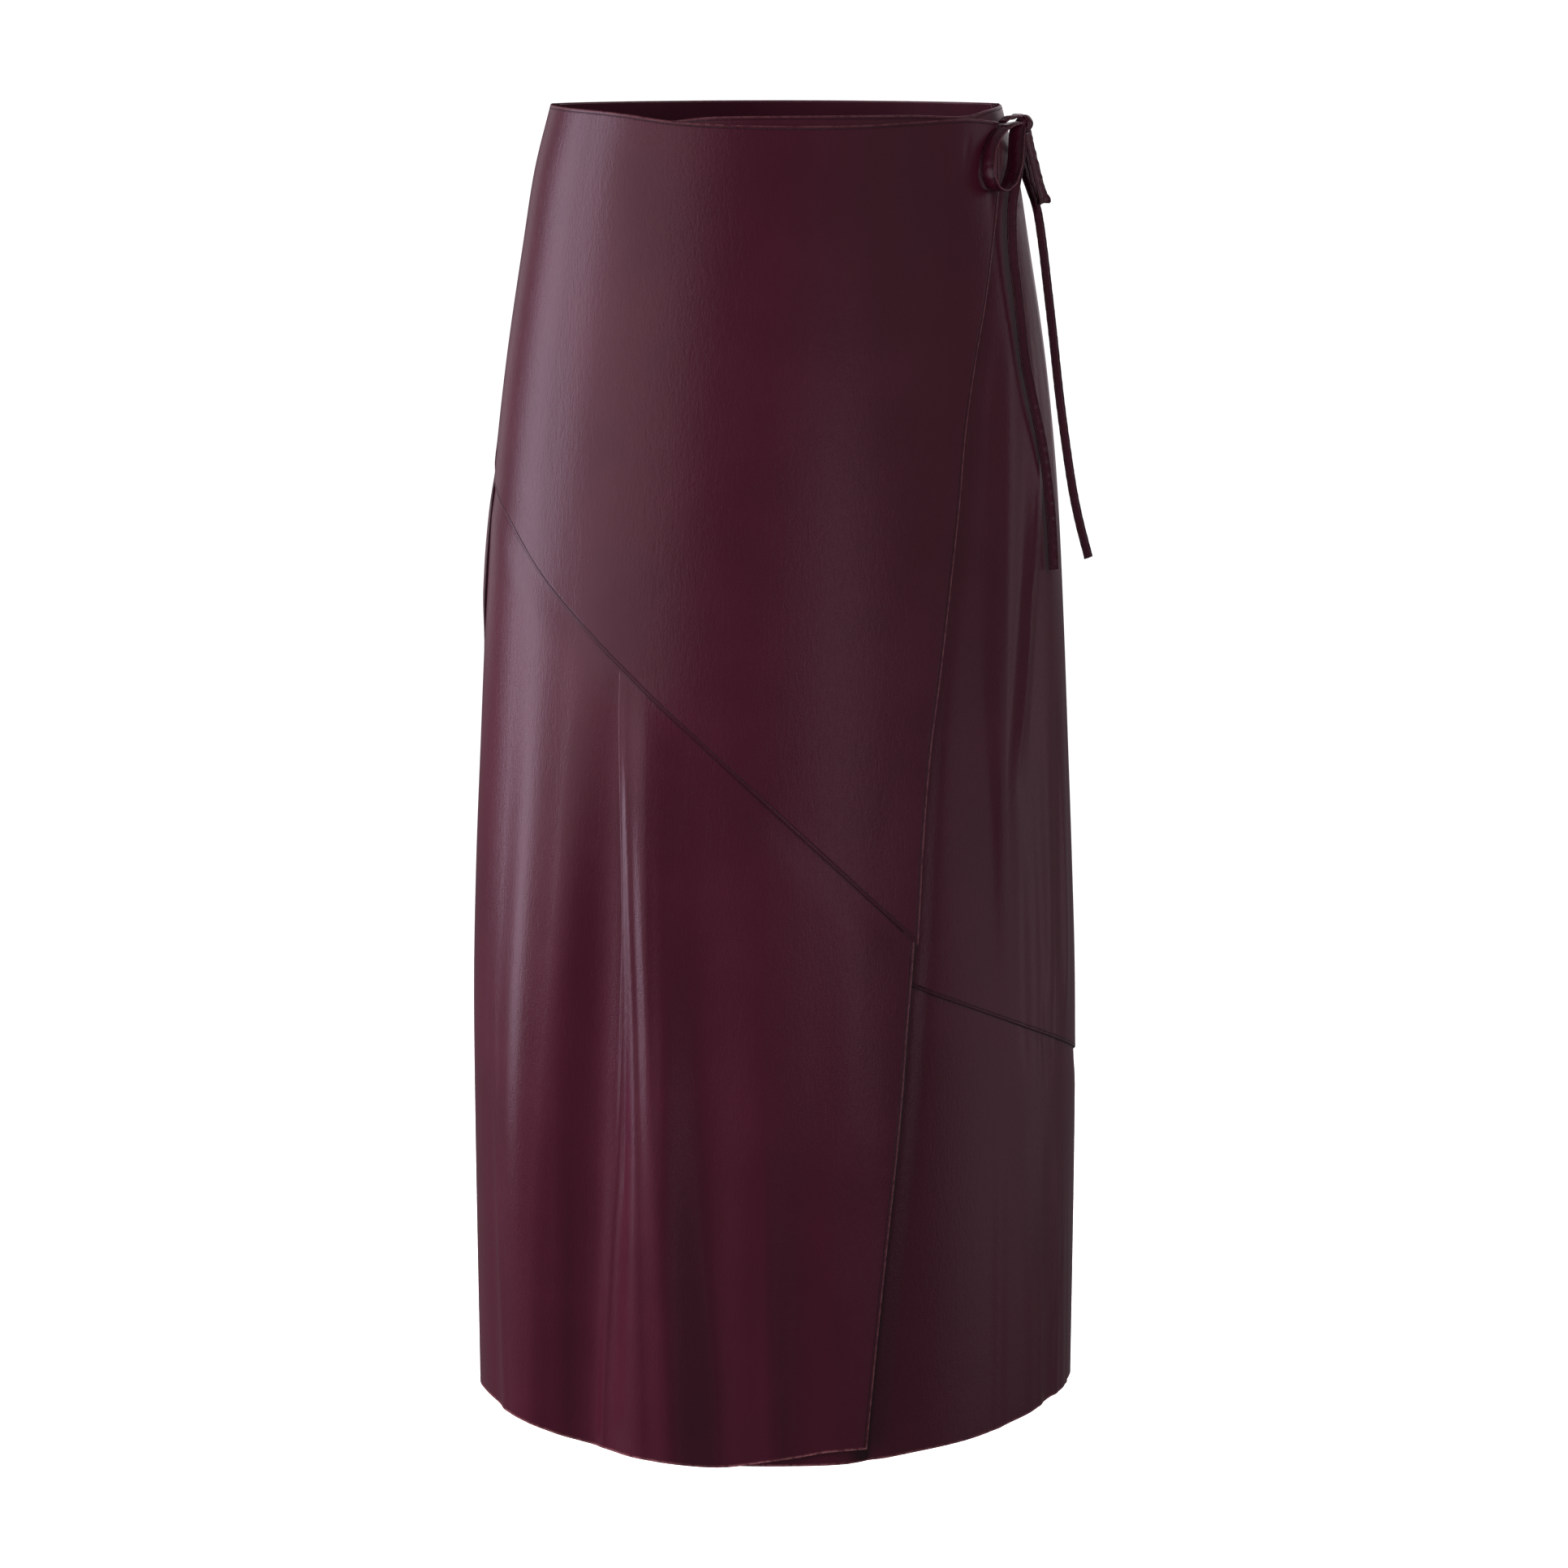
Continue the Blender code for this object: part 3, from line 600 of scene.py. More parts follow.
# %% Shader maths
class Wire:
    """One output of a shader node.  Arithmetic on it adds Math nodes."""

    def __init__(self, recipe, socket):
        self.recipe = recipe
        self.socket = socket

    def math(self, operation, first, second):
        return self.recipe.node("ShaderNodeMath", {"operation": operation}, {0: first, 1: second})

    def __add__(self, other):
        return self.math("ADD", self, other)

    def __sub__(self, other):
        return self.math("SUBTRACT", self, other)

    def __rsub__(self, other):
        return self.math("SUBTRACT", other, self)

    def __mul__(self, other):
        return self.math("MULTIPLY", self, other)

    def __pow__(self, other):
        return self.math("POWER", self, other)

    __radd__ = __add__
    __rmul__ = __mul__


class Recipe:
    """A material and the nodes that make it."""

    def __init__(self, name, values):
        self.material = bpy.data.materials.new(name)
        self.material.use_nodes = True
        self.tree = self.material.node_tree
        self.shader = self.tree.nodes["Principled BSDF"]
        self.feed(self.shader, values)

    def feed(self, node, values):
        """Sets or links sockets of a node."""
        for name, value in values.items():
            if isinstance(value, Wire):
                self.tree.links.new(value.socket, node.inputs[name])
            else:
                node.inputs[name].default_value = value

    def node(self, kind, settings, values, output=0):
        """Adds a node, sets it up, feeds it, and gives one of its outputs."""
        made = self.tree.nodes.new(kind)
        for name, value in settings.items():
            setattr(made, name, value)
        self.feed(made, values)
        return Wire(self, made.outputs[output])

    def place(self, stretch):
        """Object coordinates, stretched by a factor along each axis."""
        here = self.node("ShaderNodeTexCoord", {}, {}, output="Object")
        return self.node("ShaderNodeMapping", {}, {"Vector": here, "Scale": stretch})

    def noise(self, where, scale, detail=3.0, roughness=0.55, distortion=0.0):
        return self.node("ShaderNodeTexNoise", {}, {
            "Vector": where, "Scale": scale, "Detail": detail, "Roughness": roughness,
            "Distortion": distortion})

    def blend(self, share, first, second):
        """A colour between two colours."""
        settings = {"data_type": "RGBA", "clamp_factor": True}
        return self.node("ShaderNodeMix", settings, {0: share, 6: first, 7: second}, output=2)

    def band(self, value, low, high):
        """0 below `low`, 1 above `high`, and smooth between."""
        return self.node("ShaderNodeMapRange", {"interpolation_type": "SMOOTHSTEP"}, {
            "Value": value, "From Min": low, "From Max": high})


# %% [markdown]
# ## Leather
# The outer leather is a soft polyurethane coat with a printed grain.  Seen close it has tiny
# pebbles, and hanging has drawn fine upright wrinkles into it, a millimetre or two apart.
# Both are too small for the mesh and go into a Bump node.  The coat is smooth between them,
# so the roughness stays low, and a slow noise changes colour and gloss over the panels.

# %% Leather
WINE = (0.049, 0.0050, 0.0150, 1)
WINE_DEEP = (0.041, 0.0040, 0.0125, 1)
# The pale colour is scuffing and the painted highlight of folded edges; the near-black one is painted shade.
PALE_WEAR_AND_HIGHLIGHT = (0.20, 0.075, 0.085, 1)
PAINTED_SHADE = (0.006, 0.0008, 0.0020, 1)
PALE_SHOWS = 0.7
PAINTED_SHADE_SHOWS = 0.9


def leather(name, light, deep, gloss, grain=1.0):
    """Coated leather with pebbles and fine upright wrinkles."""
    recipe = Recipe(name, {"IOR": 1.5})
    upright = recipe.place((1, 1, 0.28))
    even = recipe.place((1, 1, 1))
    wrinkles = recipe.noise(upright, 620, 4, 0.6, 0.4)
    creases = recipe.band(recipe.noise(upright, 190, 3, 0.65, 0.8), 0.47, 0.60)
    pebbles = recipe.node("ShaderNodeTexVoronoi", {"feature": "F1"}, {"Vector": even, "Scale": 1150})
    slow = recipe.noise(even, 9, 3, 0.6)
    # The mark on the mesh: above zero scuffed pale and painted highlight along folded edges, below zero painted
    # shade beside the free edge, under lapped seams, in side-seam creases, stitch channels and strap stitching.
    wear_and_painted_light = recipe.node("ShaderNodeAttribute", {"attribute_name": "wear_and_painted_light"}, {}, output="Fac")
    patchy = recipe.band(recipe.noise(even, 260, 3, 0.7), 0.30, 0.62)
    colour = recipe.blend(recipe.band(slow, 0.35, 0.68), deep, light)
    colour = recipe.blend(wear_and_painted_light * patchy * PALE_SHOWS, colour, PALE_WEAR_AND_HIGHLIGHT)
    colour = recipe.blend(wear_and_painted_light * -1 * PAINTED_SHADE_SHOWS, colour, PAINTED_SHADE)
    height = wrinkles * 0.55 + pebbles * -0.20 + creases * -0.09
    bump = recipe.node("ShaderNodeBump", {}, {"Height": height, "Strength": 0.85 * grain, "Distance": 0.00028})
    recipe.feed(recipe.shader, {
        "Base Color": colour,
        "Roughness": slow * 0.08 + wrinkles * 0.06 + (gloss - 0.07),
        "Normal": bump,
    })
    return recipe.material


def cloth_back(name, colour, pale):
    """The knitted backing on the leather's inner side."""
    recipe = Recipe(name, {"IOR": 1.45, "Sheen Weight": 0.15})
    even = recipe.place((1, 1, 1))
    rib = recipe.noise(recipe.place((1, 1, 0.5)), 1500, 2, 0.5)
    slow = recipe.noise(even, 30, 3, 0.6)
    bump = recipe.node("ShaderNodeBump", {}, {"Height": rib, "Strength": 0.6, "Distance": 0.0003})
    recipe.feed(recipe.shader, {
        "Base Color": recipe.blend(rib * 0.6 + slow * 0.4, colour, pale),
        "Roughness": slow * 0.1 + 0.78,
        "Normal": bump,
    })
    return recipe.material


outer = leather("outer_leather", WINE, WINE_DEEP, 0.30)
tie_leather = leather("tie_leather", WINE, (0.036, 0.0037, 0.0110, 1), 0.20, grain=0.6)
facing = leather("facing_leather", (0.052, 0.0100, 0.020, 1), (0.040, 0.0070, 0.015, 1), 0.42)
backing = cloth_back("cloth_backing", (0.040, 0.010, 0.018, 1), (0.065, 0.022, 0.032, 1))
cut_edge = cloth_back("cut_edge", (0.10, 0.045, 0.05, 1), (0.26, 0.16, 0.155, 1))
thread = cloth_back("thread", (0.036, 0.0045, 0.012, 1), (0.052, 0.0075, 0.018, 1))
# A near-black blob at each stitch is painted shade for the needle hole.
needle_hole_shade = cloth_back("needle_hole_shade", (0.004, 0.0008, 0.0015, 1), (0.006, 0.0012, 0.0022, 1))
PANEL_FINISHES = (outer, backing, cut_edge)

# %% [markdown]
# ## The front overlap
# The upper panel runs from the side seam to the wrap edge and its slanted lower edge is
# folded under and topstitched.  The lower panel comes out from under that edge.  It has one
# knife tuck: a fold of cloth laid to the side, sewn down at the seam and let go below it.

# %% The front overlap
# The tuck's folded edge: drop, around.
TUCK_LINE = [(330, 60.0), (400, 60.7), (490, 61.1), (560, 60.8), (640, 59.4), (700, 57.8), (840, 54.6)]
# drop, how wide its steep side is, how far it fades on the other, its share of the rise,
# and how far the fold hangs over.
TUCK_SHAPE = [(320, 1.6, 50, 0.0, 0.0), (338, 1.6, 50, 0.0, 0.0), (346, 1.6, 50, 0.25, 0.3),
              (366, 1.6, 48, 0.6, 0.8), (390, 1.6, 45, 0.85, 1.1), (430, 2.0, 40, 0.9, 1.1),
              (500, 3.0, 34, 0.8, 0.6), (570, 4.5, 30, 0.5, 0.2), (640, 5, 26, 0.15, 0.0),
              (700, 5, 26, 0.0, 0.0), (840, 5, 26, 0.0, 0.0)]
TUCK_RISE = 3.0
TUCK_COLUMNS = 14


def tuck_fade(around, drop):
    """The tuck's rise on its gentle side."""
    fade, share = (read(TUCK_SHAPE, column, drop) for column in (2, 3))
    aside = (around - read(TUCK_LINE, 1, drop)) * arc_per_degree(around, drop)
    return np.where(aside > 0, TUCK_RISE * share * (1 - ease(aside / fade)), 0)


def tuck_columns():
    """Columns over the steep side, which hangs over the cloth below it near its head."""
    def one(t):
        def around_of(drop):
            middle = read(TUCK_LINE, 1, drop)
            steep, over = (read(TUCK_SHAPE, column, drop) for column in (1, 4))
            aside = steep * (t - 1) + over * math.sin(2 * math.pi * t)
            return middle + aside / arc_per_degree(middle, drop)

        def lifted(drop):
            return TUCK_RISE * read(TUCK_SHAPE, 3, drop) * float(ease(t))
        return around_of, lifted, 0.0
    return [one(i / TUCK_COLUMNS) for i in range(TUCK_COLUMNS + 1)]


def with_lift(columns, lift):
    """The same columns, lifted by a function of the angle and the drop."""
    def one(around_of, out, wear_and_painted_light):
        return around_of, lambda drop: out + lift(around_of(drop), drop), wear_and_painted_light
    return [one(*column) for column in columns]


side_columns = columns_from(shifted(side_seam, SIDE_GAP / 2), turned_in_edge(), 1)
wrap_columns = columns_from(wrap_edge, folded_edge(edge_tone=WRAP_PALE_AND_HIGHLIGHT), -1)
overlap_upper = cloth(
    "overlap_upper_leather",
    side_columns + columns_between(side_columns[-1][0], wrap_columns[0][0], 190) + wrap_columns,
    spread(folded_edge(), 110, folded_edge(proud=0.1, edge_tone=SEAM_SHADE)),
    edge(OVERLAP_TOP), edge(OVERLAP_SEAM), lap_rise, PANEL_FINISHES)

tuck = tuck_columns()
wrap_columns = columns_from(wrap_edge_lower, folded_edge(edge_tone=WRAP_PALE_AND_HIGHLIGHT), -1)
right_of_tuck = columns_between(tuck[-1][0], wrap_columns[0][0], 130) + wrap_columns
overlap_lower = cloth(
    "overlap_lower_leather",
    side_columns + columns_between(side_columns[-1][0], tuck[0][0], 90) + tuck
    + with_lift(right_of_tuck, tuck_fade),
    spread(lapped_under_edge(), 105, raw_edge()),
    edge(OVERLAP_SEAM), hem(OVERLAP_HEM), lap_rise, PANEL_FINISHES)

# %% [markdown]
# ## The underlap
# The other front runs on under the overlap as far as the wearer's right, where it isn't seen.
# Its columns are set wide there and close where it shows.  Beside the wrap edge the overlap's
# contact shadow is painted on it.

# %% The underlap
SHOWN_FROM = -12.0      # millimetres, from the wrap edge
#     how far beyond the wrap edge, and how much painted shadow of the free edge lies there: close by, and further
#     out
BESIDE_EDGE = [(-4, 1, 0), (-1, 1, 0), (0, 1, 0.2), (0.6, 0.95, 0.6), (1.2, 0.6, 0.9), (2.0, 0.32, 1.0),
               (3.2, 0.15, 0.9), (4.6, 0.05, 0.55), (6, 0, 0.2), (8, 0, 0)]
#   drop, share of the first, share of the second
EDGE_SHADOW_SHARE = [(0, 0.4, 0), (30, 0.8, 0.4), (60, 0.8, 0.8), (110, 0.8, 0.75), (170, 0.8, 0.35), (230, 0.8, 0),
               (500, 0.8, 0), (600, 0.95, 0), (840, 0.95, 0)]
DIP = 1.8               # the underlap dips in under the free edge
DIP_WIDE = 7.0


def under_the_edge(around, drop):
    aside = (around - wrap_edge(drop)) * arc_per_degree(around, drop)
    return -DIP * np.exp(-((aside - 1.5) / DIP_WIDE) ** 2) * ease((drop - 60) / 80)


# The free edge's contact shadow, painted on the underlap beside it.
def shadow_beside_edge(close, wide):
    return lambda drop: -np.maximum(close * read(EDGE_SHADOW_SHARE, 1, drop), wide * read(EDGE_SHADOW_SHARE, 2, drop))


def build_underlap(name, top_finish, rows, bottom_finish, top, bottom):
    hidden = columns_from(underlap_edge, raw_edge(), 1)
    shown = shifted(wrap_edge, SHOWN_FROM)
    beside = [(shifted(wrap_edge, aside), 0.0, shadow_beside_edge(close, wide)) for aside, close, wide in BESIDE_EDGE]
    seam = columns_from(shifted(right_seam, -SIDE_GAP / 2), turned_in_edge(), -1)
    columns = hidden + columns_between(hidden[-1][0], shown, 36) + [(shown, 0.0, 0.0)] + beside
    columns += columns_between(beside[-1][0], seam[0][0], 92) + seam
    return cloth(name, columns, spread(top_finish, rows, bottom_finish), top, bottom,
                 under_the_edge, PANEL_FINISHES)


underlap_upper = build_underlap("underlap_upper_leather", folded_edge(), 110, folded_edge(proud=0.1, edge_tone=SEAM_SHADE),
                                edge(UNDERLAP_TOP), edge(UNDERLAP_SEAM))
underlap_lower = build_underlap("underlap_lower_leather", lapped_under_edge(), 60, raw_edge(),
                                edge(UNDERLAP_SEAM), hem(UNDERLAP_HEM))

# %% [markdown]
# ## The back
# Two panels from side seam to side seam, joined by a slanted lapped seam like the front's,
# and a strip of leather turned inside the waist.

# %% The back
FACING_DEPTH = 35.0
FACING_INSIDE = 1.9
seam_start = columns_from(shifted(right_seam, SIDE_GAP / 2), turned_in_edge(), 1)
seam_finish = columns_from(shifted(back_side_seam, -SIDE_GAP / 2), turned_in_edge(), -1)
back_columns = seam_start + columns_between(seam_start[-1][0], seam_finish[0][0], 190) + seam_finish
back_upper = cloth("back_upper_leather", back_columns, spread(folded_edge(), 90, folded_edge(proud=0.1, edge_tone=SEAM_SHADE)),
                   edge(BACK_TOP), edge(BACK_SEAM), on_the_form, PANEL_FINISHES)
back_lower = cloth("back_lower_leather", back_columns, spread(lapped_under_edge(), 90, raw_edge()),
                   edge(BACK_SEAM), edge(BACK_HEM), on_the_form, PANEL_FINISHES)

facing_columns = columns_between(shifted(right_seam, 1.5), shifted(back_side_seam, -1.5), 150)
back_facing = cloth("back_facing_leather", facing_columns,
                    spread(raw_edge(0), 10, raw_edge(0)),
                    lambda around: read(BACK_TOP, 1, around) + 0.8,
                    lambda around: read(BACK_TOP, 1, around) + FACING_DEPTH,
                    lambda around, drop: 0 * around - FACING_INSIDE, (backing, facing, cut_edge))

# %% [markdown]
# ## The ties
# A tie is a strip of leather folded flat and sewn along both edges, so it is a little puffed
# in the middle and pinched along its stitching.  A circle is pressed into that section and
# drawn from station to station along a route; where the knot grips it, it is narrower.

# %% The ties
TAIL_WIDTH = 6.6
LOOP_WIDTH = 9.0
STRAP_THICK = 1.7
STRAP_SIDES = 24
STRAP_PINCH = 0.85
PINCH_LENGTH = 5.0      # how far from the knot a strap is back at its full width
STATION_STEP = 1.0
#   x, y, z in millimetres, and the direction of the width, in degrees from +X to the back
TIE_ROUTES = {
    "tie_root_front": [(138.8, -39.6, -11.4, -40), (143.4, -33, -8.4, -40), (149.2, -26, -8.2, -40)],
    "tie_root_side": [(147.2, 7, -9.5, 40), (150.4, -2, -7.4, 35), (152.5, -15.4, -9, 20)],
    "tie_loop_front": [
        (148.8, -27.2, -12, -35), (142, -40, -13.6, -35), (135.5, -51, -18, -35),
        (130.7, -60, -25.7, -35), (128.7, -66, -35.3, -35), (128.9, -68.8, -43, -35),
        (132, -68, -49.9, -35), (137, -62.4, -52, -33), (142.2, -54.4, -48.3, -28),
        (145.4, -46, -40.6, -20), (147.2, -38.5, -32.4, -10), (148.2, -30, -20, 0),
        (149.6, -27.5, -13.5, 0)],
    "tie_loop_rear": [
        (155.6, -20.2, -18.4, 57), (157.6, -18.8, -27, 57), (160.4, -16.5, -37, 57),
        (163.2, -13, -47, 57), (166, -8.5, -56, 57), (167.5, -3, -60.4, 57),
        (165.8, 1.2, -58.2, 57), (162.4, 1.4, -50, 57), (160, -0.8, -41, 57),
        (158, -5, -31, 57), (155.4, -15.4, -17.4, 57)],
    "tie_tail_inner": [
        (151.5, -23.6, -19.4, 30), (151, -28, -30, 30), (148.2, -38, -44, 30),
        (145, -48.5, -60, 30), (144.4, -55, -78, 30), (145.4, -57.4, -94, 30),
        (147.8, -58.8, -112, 30), (150.4, -59.5, -133, 30), (153.4, -59.5, -156, 28),
        (158.6, -57, -180, 26), (164.6, -53, -206, 24), (168.6, -50, -230, 24),
        (171.6, -48.5, -256, 24), (173.5, -48.8, -286, 24)],
    "tie_tail_outer": [
        (151.8, -18.4, -18.8, 40), (152.6, -8, -28, 38), (154.4, 3, -38, 36),
        (159.4, 9.4, -52, 34), (164, 7, -66, 32), (167, 0, -86, 32), (170.2, -4, -112, 32),
        (174, -5, -142, 32), (178.4, -5, -178, 32), (182.7, -5, -208, 32),
        (187.8, -5, -239, 32), (192.3, -5, -259.8, 32), (197.2, -5, -278, 32),
        (198.9, -5, -284.2, 32)],
}
KNOT_PLACE = Vector((152.8, -22.0, -12.8)) * MM
KNOT_SIZE = (8.4, 9.6, 9.8)
KNOT_AXIS = Vector((0.6, 0.8, 0))
KNOT_OUT = Vector((0.8, -0.6, 0))


def waver(along, seed, length):
    """A gentle, uneven wave between -1 and 1, for cloth that doesn't lie quite flat."""
    return (math.sin(along * 6.28 / length + seed) + 0.6 * math.sin(along * 10.1 / length + 2.1 * seed)
            + 0.35 * math.sin(along * 17.3 / length + 3.7 * seed)) / 1.95


def strap_line(route):
    """Points along a route, evenly spaced: (distance, point, direction of the width)."""
    rows = [(i, *row) for i, row in enumerate(route)]
    at = np.linspace(0, len(route) - 1, 40 * len(route))
    fine = np.stack([read(rows, column, at) for column in (1, 2, 3, 4)], axis=-1)
    length = np.concatenate([[0], np.cumsum(np.linalg.norm(np.diff(fine[:, :3], axis=0), axis=1))])
    count = max(round(length[-1] / STATION_STEP), 8)
    even = np.linspace(0, length[-1], count + 1)
    return even, np.stack([np.interp(even, length, fine[:, k]) for k in range(4)], axis=-1)


def strap_frames(route, width, narrow_ends, seed, crumple):
    distances, line = strap_line(route)
    last = len(line) - 1
    frames = []
    for i, distance in enumerate(distances):
        ahead = Vector(line[min(i + 1, last), :3] - line[max(i - 1, 0), :3]).normalized()
        turn = math.radians(line[i, 3])
        wide = Vector((math.cos(turn), math.sin(turn), 0))
        wide = (wide - ahead * wide.dot(ahead)).normalized()
        flat = ahead.cross(wide)
        away = PINCH_LENGTH
        if 0 in narrow_ends:
            away = min(away, distance)
        if 1 in narrow_ends:
            away = min(away, distances[-1] - distance)
        pinch = STRAP_PINCH + (1 - STRAP_PINCH) * float(ease(away / PINCH_LENGTH))
        across = wide * width / 2 * MM * pinch * (1 + 0.015 * crumple * waver(distance, seed + 1, 11))
        thick = STRAP_THICK * (1 + 0.16 * crumple * waver(distance, seed + 2, 7)) * (1.5 - 0.5 * pinch)
        frame = Matrix((across, flat * thick / 2 * MM, ahead)).transposed().to_4x4()
        bend = flat * 0.22 * crumple * waver(distance, seed, 9) * float(ease(away / PINCH_LENGTH))
        frame.translation = (Vector(line[i, :3]) + bend) * MM
        frames.append(frame)
    return frames


def press_section(shape):
    """Turns a round section into a folded strap's: flat, puffed, pinched at its stitching, with painted highlight
    and shade.
    """
    wear_and_light_mark = shape.verts.layers.float.new("wear_and_painted_light")
    for vertex in shape.verts:
        x, y = vertex.co.x, vertex.co.y
        x = math.copysign(abs(x) ** 0.5, x)
        pinched = 1 - 0.34 * math.exp(-((abs(x) - 0.70) / 0.12) ** 2)
        stitch_shade = math.exp(-((abs(x) - 0.70) / 0.15) ** 2)
        # Its folded edges are painted pale, scuffing and highlight, and the pinch at its stitching is painted with
        # shade.
        vertex[wear_and_light_mark] = 0.5 * float(ease((abs(x) - 0.86) / 0.10)) - 0.8 * stitch_shade
        vertex.co = (x, math.copysign(abs(y) ** 0.62, y) * pinched, 0)


def strap(name, route, width, narrow_ends, seed, crumple=1.0):
    frames = strap_frames(route, width, narrow_ends, seed, crumple)
    shape = bmesh.new()
    bmesh.ops.create_circle(shape, segments=STRAP_SIDES, radius=1, cap_ends=True)
    press_section(shape)
    bmesh.ops.transform(shape, matrix=frames[0], verts=shape.verts)
    end = shape.edges[:]
    for here, beyond in zip(frames, frames[1:]):
        grown = bmesh.ops.extrude_edge_only(shape, edges=end)["geom"]
        moved = [item for item in grown if isinstance(item, bmesh.types.BMVert)]
        end = [item for item in grown if isinstance(item, bmesh.types.BMEdge)]
        bmesh.ops.transform(shape, matrix=beyond @ here.inverted(), verts=moved)
    bmesh.ops.holes_fill(shape, edges=end)
    bmesh.ops.recalc_face_normals(shape, faces=shape.faces)
    mesh = bpy.data.meshes.new(name)
    shape.to_mesh(mesh)
    shape.free()
    piece = finish_piece(name, mesh, [tie_leather])
    mesh.set_sharp_from_angle(angle=math.radians(60))
    return piece


#   width, the ends that the knot narrows, where its waver begins, how crumpled
STRAPS = {
    "tie_root_front": (TAIL_WIDTH, (0,), 0.0, 0.8),
    "tie_root_side": (TAIL_WIDTH, (0,), 1.7, 0.8),
    "tie_loop_front": (LOOP_WIDTH + 1, (0, 1), 3.4, 0.7),
    "tie_loop_rear": (LOOP_WIDTH, (0, 1), 5.1, 1.2),
    "tie_tail_inner": (TAIL_WIDTH, (0,), 6.8, 0.6),
    "tie_tail_outer": (TAIL_WIDTH, (0,), 8.5, 0.6),
}
ties = {name: strap(name + "_leather", TIE_ROUTES[name], *look) for name, look in STRAPS.items()}

# %% [markdown]
# ## The knot
# The straps go in at both ends of a small bundle and a turn of strap is pulled tight round it.

# %% The knot
def build_knot():
    shape = bmesh.new()
    bmesh.ops.create_uvsphere(shape, u_segments=40, v_segments=24, radius=0.5)
    for vertex in shape.verts:
        turn = math.atan2(vertex.co.z, vertex.co.x)
        vertex.co *= 1 + 0.035 * math.sin(5 * turn + 5 * vertex.co.y) + 0.02 * math.sin(9 * turn)
    bmesh.ops.scale(shape, vec=Vector(KNOT_SIZE) * MM, verts=shape.verts)
    turned = Matrix.Translation(KNOT_PLACE) @ Vector((0, 1, 0)).rotation_difference(KNOT_AXIS).to_matrix().to_4x4()
    bmesh.ops.transform(shape, matrix=turned, verts=shape.verts)
    mesh = bpy.data.meshes.new("tie_knot_leather")
    shape.to_mesh(mesh)
    shape.free()
    return finish_piece("tie_knot_leather", mesh, [tie_leather])


def build_knot_turn():
    """One turn of strap round the knot, a ring of flat section."""
    shape = bmesh.new()
    bmesh.ops.create_circle(shape, segments=STRAP_SIDES, radius=1)
    press_section(shape)
    for vertex in shape.verts:
        along, through = vertex.co.x, vertex.co.y
        vertex.co = (KNOT_OUT * (4.3 + 0.75 * through) + KNOT_AXIS * (3.1 * along + 0.3)) * MM
    bmesh.ops.spin(shape, geom=shape.verts[:] + shape.edges[:], cent=(0, 0, 0), axis=KNOT_AXIS,
                   angle=math.radians(360), steps=48, use_merge=True)
    bmesh.ops.remove_doubles(shape, verts=shape.verts, dist=0.00001)
    for vertex in shape.verts:
        turn = math.atan2(vertex.co.z, vertex.co.dot(KNOT_OUT))
        slid = 0.5 * math.sin(turn) + 0.25 * math.sin(3 * turn + 1)
        vertex.co = vertex.co * (1 + 0.03 * math.sin(4 * turn + 2)) + KNOT_AXIS * slid * MM
        vertex.co.z *= 1.12
    bmesh.ops.translate(shape, vec=KNOT_PLACE, verts=shape.verts)
    bmesh.ops.recalc_face_normals(shape, faces=shape.faces)
    mesh = bpy.data.meshes.new("tie_knot_turn_leather")
    shape.to_mesh(mesh)
    shape.free()
    return finish_piece("tie_knot_turn_leather", mesh, [tie_leather])


knot = build_knot()
knot_turn = build_knot_turn()
print("ties:", sorted(ties))

# %% [markdown]
# ## Stitches
# Every folded edge is sewn down with one row, less than two millimetres in.  A stitch is a
# short rounded thread, half sunk in the leather, with a near-black blob at its start that is
# painted shade for its needle hole.

# %% Stitches
PITCH = 2.0
STITCH_LENGTH = 1.5
#     length, width and height of a stitch's thread and of the near-black blob that paints the shade of a needle
#     hole
STITCH = (1.5, 0.42, 0.34)
HOLE_SHADE = (0.75, 0.66, 0.28)
RUN = 20


def beside_edge(line, start, finish, side, out, distance=STITCH_FROM_EDGE):
    """Points of a row below (+1) or above (-1) an edge that runs round the body."""
    around = np.arange(start, finish, 0.1)
    drop = line(around)
    drop = drop + side * distance * steepness(line, around, drop)
    return place(around, drop, out(around, drop) + stitch_dip(distance) + 0.06)


def beside_guide(guide, start, finish, side, out, distance=STITCH_FROM_EDGE):
    """Points of a row beside an edge that runs down the body."""
    drop = np.arange(start, finish, 0.4)
    around = guide(drop) + side * distance / arc_per_degree(guide(drop), drop)
    return place(around, drop, out(around, drop) + stitch_dip(distance) + 0.06)


def stitch(shape, first, last):
    """One stitch, and at its start a near-black blob, painted shade for its needle hole."""
    ahead = (last - first).normalized()
    middle = (first + last) / 2
    out = Vector((middle.x, middle.y, 0)).normalized()
    wide = ahead.cross(out).normalized()
    high = wide.cross(ahead)
    hole_place = first - ahead * (PITCH - STITCH_LENGTH) / 2 * MM
    for place_, sizes, material in ((middle, STITCH, 0), (hole_place, HOLE_SHADE, 1)):
        length, width, height = (size * MM for size in sizes)
        frame = Matrix((ahead * length, wide * width, high * height)).transposed().to_4x4()
        frame.translation = place_
        made = bmesh.ops.create_uvsphere(shape, u_segments=6, v_segments=4, radius=0.5, matrix=frame)
        for face in {face for vertex in made["verts"] for face in vertex.link_faces}:
            face.material_index = material


